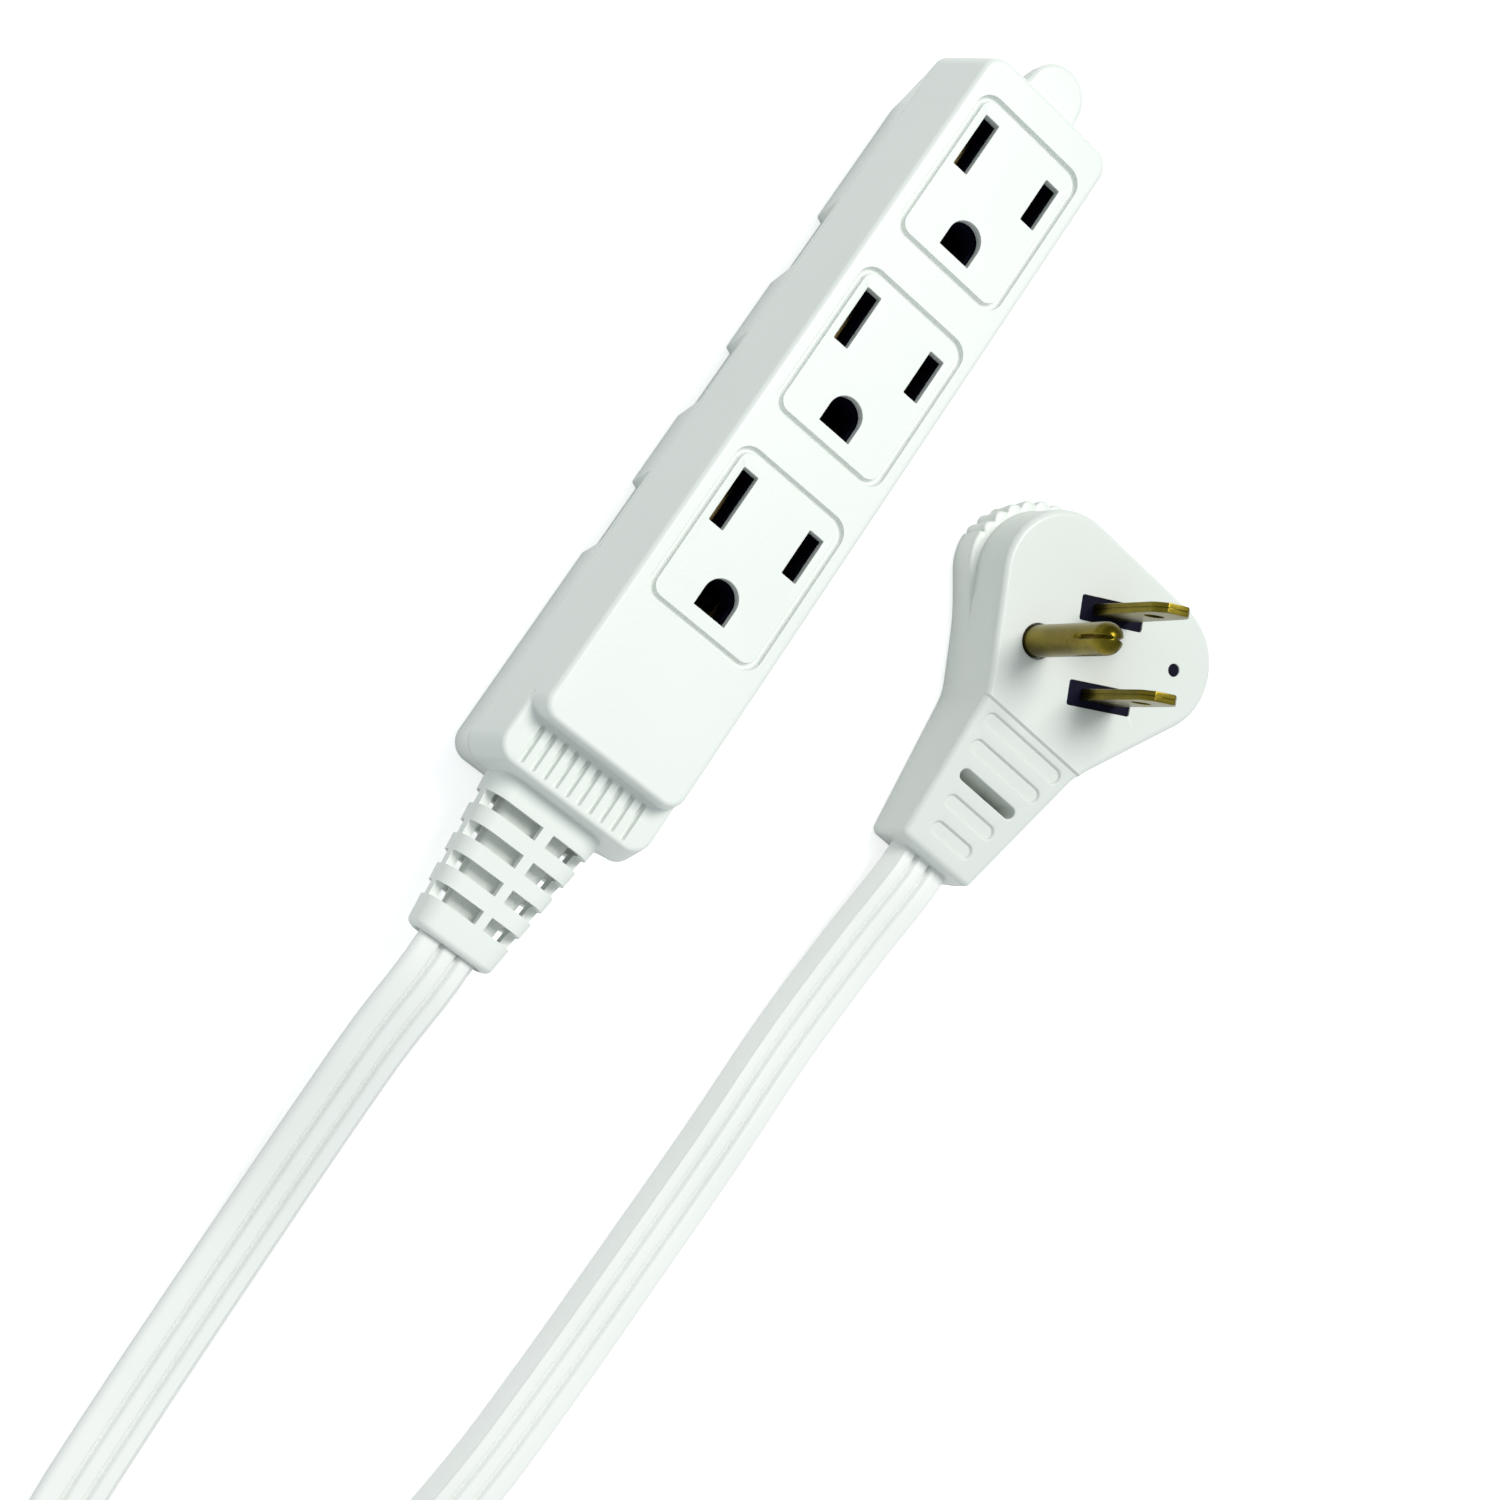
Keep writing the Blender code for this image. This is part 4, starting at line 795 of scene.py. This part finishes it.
plug_height, neck_start, neck_end = 14.0, -21.2, -44.5
neck_start_half, neck_end_half = 10.05, 7.0
head_radius, head_offset = 10.5, 9.85
plug_edge = 1.0
prong_middle = np.array([2.45, -4.45])
prong_turn = math.radians(28.0)
neck_top, step_half = 13.5, 0.14


def plug_top(v):
    """Height of the face: flat over the head, a small step, then an even slope down the neck."""
    slope = (neck_top - plug_neck_height) / (neck_start - neck_end)
    share = (v - neck_start + step_half) / (2 * step_half)
    on_neck = neck_top + slope * (v - neck_start + step_half)
    on_step = neck_top + (plug_height - neck_top) * share
    return np.where(share > 1, plug_height, np.where(share > 0, on_step, on_neck))


def bend_between(before, at, after, radius, steps):
    """The arc of a given radius that touches both lines of a corner."""
    before, at, after = (np.array(p, float) for p in (before, at, after))
    d1, d2 = before - at, after - at
    d1, d2 = d1 / np.linalg.norm(d1), d2 / np.linalg.norm(d2)
    half = math.acos(float(np.clip(d1 @ d2, -1, 1))) / 2
    centre = at + (d1 + d2) / np.linalg.norm(d1 + d2) * radius / math.sin(half)
    start, end = at + d1 * radius / math.tan(half), at + d2 * radius / math.tan(half)
    a0 = math.atan2(*(start - centre)[::-1])
    a1 = math.atan2(*(end - centre)[::-1])
    turn = (a1 - a0 + math.pi) % (2 * math.pi) - math.pi
    a = a0 + turn * np.linspace(0, 1, steps + 1)
    return centre + radius * np.column_stack([np.cos(a), np.sin(a)])


reach = math.hypot(head_offset - neck_start_half, neck_start)
lean = math.degrees(math.atan2(-neck_start, head_offset - neck_start_half) - math.acos(head_radius / reach))
shoulder = arc(head_offset, 0, head_radius, -lean, 90, 96)
neck_corner, head_root = (neck_end_half, neck_end), (neck_start_half, neck_start)
end_bend = bend_between((0, neck_end), neck_corner, head_root, 1.2, 5)
root_bend = bend_between(neck_corner, head_root, shoulder[0], 9.0, 10)
flank = np.linspace(root_bend[-1], shoulder[0], 8)[1:-1]
right_side = np.vstack([end_bend, root_bend, flank, shoulder])
climbing = 60  # the first points, which all run up from the neck to the head
step_edges = (neck_start - step_half, neck_start + step_half)
for edge in step_edges:
    spot = int(np.searchsorted(right_side[:climbing, 1], edge))
    before, after = right_side[spot - 1], right_side[spot]
    k = (edge - before[1]) / (after[1] - before[1])
    right_side = np.insert(right_side, spot, before + k * (after - before), axis=0)
plug_plan = np.vstack([right_side, right_side[::-1] * (-1, 1)])
along = np.roll(plug_plan, -1, axis=0) - np.roll(plug_plan, 1, axis=0)
along /= np.linalg.norm(along, axis=1)[:, None]
outward = np.column_stack([along[:, 1], -along[:, 0]])
# beside the step the rings shrink straight across, so its two creases stay in line
outward[:, 1] *= np.clip(np.abs(plug_plan[:, 1] - neck_start) / 2.5 - 0.1, 0, 1)

# The grip layer stands out 1.75 mm round the head and fades along the flanks; its shoulders
# have seven scallops each, the absolute sine of 14 times the angle round the corner's centre.
shoulder_angle = np.degrees(np.arctan2(plug_plan[:, 1], np.abs(plug_plan[:, 0]) - head_offset))
fade = np.clip((plug_plan[:, 1] - neck_start - 8.0) / 13.0, 0, 1)
grip_out = 1.75 * (3 * fade**2 - 2 * fade**3)
in_scallops = (shoulder_angle > 0) & (shoulder_angle < 91) & (np.abs(plug_plan[:, 0]) > head_offset - 0.2)
scallops = 0.95 * (1 - np.abs(np.sin(np.radians(shoulder_angle * 14))) ** 0.7)
grip_out -= np.where(in_scallops, scallops, 0.0)
grip_top = 5.8


def plug_ring(out, z):
    """The plan moved out along its normals, at one height or a height for each point."""
    return at_height(plug_plan + outward * np.reshape(out, (-1, 1)), z)


draft = 0.15
body = Shell(plug_frame)
stack = [plug_ring(grip_out * (1 - d / 3.0) - i, d) for i, d in edge_round(0.8, 4)[::-1]]
stack += [plug_ring(grip_out, grip_top - 0.9)]
stack += [plug_ring(np.maximum(grip_out - i, 0.0), grip_top - d) for i, d in edge_round(0.35, 3)[1:]]
stack += [plug_ring(np.minimum(grip_out, 0.12), grip_top + 0.05), plug_ring(0.0, grip_top + 0.25)]
for inset, drop in edge_round(plug_edge, 7):
    ring = plug_ring(-draft - inset, 0.0)
    ring[:, 2] = plug_top(ring[:, 1]) - drop
    stack.append(ring)
body.rings(stack)
body.flat([stack[0]], 0.0)


def prong_spot(x, y):
    """A point of the prong pattern, whose blades lie at y = 0, in the plug's frame."""
    c, s = math.cos(prong_turn), math.sin(prong_turn)
    x, y = np.asarray(x, float), np.asarray(y, float)
    return np.stack([prong_middle[0] + s * x + c * y, prong_middle[1] - c * x + s * y], axis=-1)


def window_path(side, grow):
    """A blade's window, 11 by 3.8 mm, in the plug's frame."""
    box = rounded_box(-1.9 - grow, 1.9 + grow, -5.5 - grow, 5.5 + grow, 0.35 + grow, 3)
    return prong_spot(side * blade_spacing / 2 + box[:, 0], box[:, 1])


def pin_path(grow):
    """The hole round the ground pin, moved out by grow."""
    return circle(*prong_spot(0, -blade_to_ground), 2.4 + grow)


def dot_path(grow):
    """The small round window beyond the blades, moved out by grow."""
    return circle(*prong_spot(0, 12.2), 1.0 + grow)


# each pocket's half length, depth and end radius, from the head to the cord
pockets = [(7.75, 0.45, 1.15), (6.9, 0.45, 1.15), (5.5, 6.5, 0.95), (4.75, 0.45, 1.1), (3.85, 0.45, 1.1)]


def pocket_path(number):
    """A pill across the neck for one pocket, as a function that moves it out by grow."""
    half, _, reach = pockets[number]
    v = -23.6 - 4.2 * number

    def path(grow):
        r = reach + grow
        return np.vstack([arc(half - reach, v, r, -90, 90, 10), arc(reach - half, v, r, 90, 270, 10)])

    return path


pocket_paths = [pocket_path(i) for i in range(len(pockets))]
face_lip = 0.22
# the step's two edges cross the face as creases, from the right flank to the left
creases = []
ring_size = len(plug_plan)
for edge in step_edges:
    right_index = int(np.argmin(np.abs(plug_plan[: ring_size // 2, 1] - edge)))
    creases.append((right_index, ring_size - 1 - right_index))
openings = [window_path(-1, 0.1), window_path(1, 0.1), pin_path(0.35), dot_path(0.1)]
rims = [path(face_lip) for path in pocket_paths]
body.flat([stack[-1]] + openings + rims, lambda u, v: plug_top(v), creases)
pad_paths = (lambda g: window_path(-1, g), lambda g: window_path(1, g), dot_path)
for path in pad_paths:
    body.sink(path, [(0.1, plug_height), (0.02, plug_height - 0.05), (0.0, plug_height - 0.12), (0.0, 13.2)])
body.sink(pin_path, [(0.35, plug_height), (0.25, plug_height - 0.1), (0.22, 12.6)])
for path, (_, depth, _) in zip(pocket_paths, pockets):
    stages = [(face_lip, 0.0), (0.1, 0.04), (0.0, 0.16), (-0.06, depth - 0.12), (-0.16, depth)]
    pocket = []
    for grow, drop in stages:
        loop = path(grow)
        pocket.append(at_height(loop, plug_top(loop[:, 1]) - drop))
    body.rings(pocket)
    body.cap(pocket[-1])

plug_vinyl = plastic("plug_vinyl", (0.76, 0.79, 0.76), (0.73, 0.765, 0.735), 0.33, 1400.0, 0.000012)
plug_body = body.piece("plug_body", plug_vinyl, ("plug_overmould",))


# ---------------------------------------------------------------- prong carrier's pads
# Black insulator that holds the prongs and shows through the two windows and the small dot.

carrier_black = plastic(
    "carrier_black", (0.006, 0.006, 0.02), (0.003, 0.003, 0.012), 0.6, 1500.0, 0.00001, gloss=0.08
)
pads = Shell(plug_frame)
for path in pad_paths:
    pad = [at_height(path(-0.03), z) for z in (13.25, 13.72)]
    pads.rings(pad)
    pads.cap(pad[0])
    pads.cap(pad[1])
carrier_pads = pads.piece("carrier_pads", carrier_black)
for node in ("prong_carrier", "contact_carrier"):
    frame["nodes"][node].material_slots[0].material = carrier_black


# ---------------------------------------------------------------- prongs
# Two blades of folded brass sheet, 6.35 by 1.5 mm, each with a 3 mm hole and a tapered tip, and
# a rolled brass ground pin with a domed end whose seam is open near the tip.


def rolled_metal(name, light, dark, roughness):
    """Rolled sheet: scratches drawn out along Z, and two close colours and a gloss in clouds."""
    made = bpy.data.materials.new(name)
    made.use_nodes = True
    nodes, links = made.node_tree.nodes, made.node_tree.links
    shader = nodes["Principled BSDF"]
    shader.inputs["Metallic"].default_value = 1.0
    place = nodes.new("ShaderNodeTexCoord").outputs["Object"]
    streaks = nodes.new("ShaderNodeMapping")
    streaks.inputs["Scale"].default_value = (1.0, 1.0, 0.08)
    links.new(place, streaks.inputs["Vector"])
    clouds = nodes.new("ShaderNodeTexNoise")
    clouds.inputs["Scale"].default_value = 160.0
    clouds.inputs["Detail"].default_value = 5.0
    links.new(place, clouds.inputs["Vector"])
    tint = nodes.new("ShaderNodeValToRGB")
    tint.color_ramp.elements[0].position = 0.3
    tint.color_ramp.elements[0].color = (*dark, 1.0)
    tint.color_ramp.elements[1].position = 0.7
    tint.color_ramp.elements[1].color = (*light, 1.0)
    links.new(clouds.outputs["Fac"], tint.inputs["Fac"])
    links.new(tint.outputs["Color"], shader.inputs["Base Color"])
    gloss = nodes.new("ShaderNodeMapRange")
    gloss.inputs["To Min"].default_value = roughness - 0.08
    gloss.inputs["To Max"].default_value = roughness + 0.14
    links.new(clouds.outputs["Fac"], gloss.inputs["Value"])
    links.new(gloss.outputs["Result"], shader.inputs["Roughness"])
    noise_bump(nodes, links, shader, streaks.outputs["Vector"], 2600.0, 0.00001)
    return made


prong_brass = rolled_metal("prong_brass", (0.27, 0.21, 0.025), (0.10, 0.076, 0.006), 0.26)
blade_low, blade_tip = 7.5, plug_height + 17.0
blade_half, half_sheet = 6.35 / 2, 0.75
hole_height = blade_tip - 6.0


def blade_outline(inset):
    """The blade seen flat: straight sides, then tapered corners and a short tip."""
    w = blade_half - inset
    top = blade_tip - inset
    taper = [(w, top - 2.4), (w - 0.25, top - 1.5), (w - 1.3, top - 0.15), (w - 1.6, top)]
    right = np.array([(w, blade_low)] + taper)
    left = right[::-1] * (-1, 1)
    return np.vstack([left[-1:], right, left[:-1]])


def hole_circle(grow):
    """The hole near the blade's tip, moved out by grow."""
    return arc(0, hole_height, 1.5 + grow, 0, 350, 35)


def stand(side, plan, off_middle):
    """Points of a flat blade, (across, height), at a distance from its middle sheet.

    The two leaves spread by the square of the way down, over the lowest 12 mm.
    """
    plan = np.asarray(plan, float)
    spread = np.sign(off_middle) * 0.12 * np.clip((blade_low + 12 - plan[:, 1]) / 12, 0, 1) ** 2
    uv = prong_spot(side * blade_spacing / 2 + off_middle + spread, plan[:, 0])
    return np.column_stack([uv, plan[:, 1]])


# (inset, distance from the middle sheet): a rounded arris, then a fine nick between the leaves
arris = [(0.12, half_sheet), (0.03, half_sheet - 0.06), (0.0, half_sheet - 0.18), (0.0, 0.09), (0.1, 0.03)]
arris += [(inset, -off) for inset, off in reversed(arris)]
bore = [(0.1, half_sheet), (0.0, half_sheet - 0.1), (0.0, 0.1 - half_sheet), (0.1, -half_sheet)]
leaf = Shell()
leaf.flat([blade_outline(0.12), hole_circle(0.1)], 0.0)
for name, side in (("neutral_blade", -1), ("line_blade", 1)):
    blade = Shell(plug_frame)
    blade.rings([stand(side, blade_outline(inset), off) for inset, off in arris])
    blade.rings([stand(side, hole_circle(grow), off) for grow, off in bore])
    for off in (half_sheet, -half_sheet):
        blade.add(stand(side, leaf.points[0][:, :2], off), leaf.faces)
    blade.piece(f"{name}_folded", prong_brass, (name,), 30.0)

pin_radius, pin_low, pin_tip = 2.4, 7.5, plug_height + 20.5
dome = np.linspace(0, math.pi / 2, 12)
pin_profile = [(pin_radius, pin_low), (pin_radius, plug_height), (pin_radius, pin_tip - 9.0)]
pin_profile += [(pin_radius, z) for z in np.linspace(pin_tip - 8.0, pin_tip - 2.6, 12)]
pin_profile += [(pin_radius * math.cos(a) ** 0.9, pin_tip - 2.4 + 2.4 * math.sin(a)) for a in dome[:-1]]
around = np.radians(np.arange(0, 360, 5))
seam_open = pin_tip - 7.0
pin = Shell(plug_frame)
pin_rings = []
for r, z in pin_profile:
    # the radius drops by a narrow bell at the seam, deeper towards the tip
    away = (around - prong_turn + math.pi) % math.pi
    away = np.minimum(away, math.pi - away)
    depth = 0.75 * np.clip((z - seam_open) / 1.2, 0, 1) * min(1.0, r / 1.2)
    radius = r - depth * np.exp(-((away * max(r, 0.8) / 0.26) ** 2))
    ring = np.column_stack([radius * np.cos(around), radius * np.sin(around)])
    pin_rings.append(at_height(prong_spot(0, -blade_to_ground) + ring, z))
pin.rings(pin_rings)
pin.cap(pin_rings[0])
pin.cap(pin_rings[-1])
pin.piece("ground_pin_rolled", prong_brass, ("ground_pin",), 40.0)


# ---------------------------------------------------------------- contacts, leads and screws
# Inside the block: stamped brass strips with spring leaves, crimped leads in three colours, and
# zinc plated screws under the base.  They keep the frame's shapes and get their own finishes.

contact_brass = rolled_metal("contact_brass", (0.34, 0.25, 0.10), (0.25, 0.18, 0.07), 0.34)
zinc = rolled_metal("zinc_plate", (0.62, 0.62, 0.60), (0.50, 0.50, 0.49), 0.30)
finishes = {"brass": contact_brass, "zinc_steel": zinc}
for slot, name, light, dark in (
    ("green_insulation", "green_jacket", (0.05, 0.32, 0.10), (0.04, 0.27, 0.08)),
    ("neutral_insulation", "white_jacket", (0.80, 0.80, 0.78), (0.75, 0.75, 0.73)),
    ("line_insulation", "black_jacket", (0.03, 0.03, 0.03), (0.02, 0.02, 0.02)),
):
    finishes[slot] = plastic(name, light, dark, 0.45, 900.0, 0.00001)
for entry in frame["record"]["subparts"]:
    node = frame["nodes"][entry["node"]]
    if entry["material_slot"] in finishes and not node.hide_render:
        node.material_slots[0].material = finishes[entry["material_slot"]]

plug_pieces = [plug_body, carrier_pads, "neutral_blade_folded", "line_blade_folded", "ground_pin_rolled"]
plug_pieces.append("prong_carrier")
for core in ("neutral", "ground", "line"):
    plug_pieces += [f"plug_{core}_crimp", f"plug_{core}_lead"]
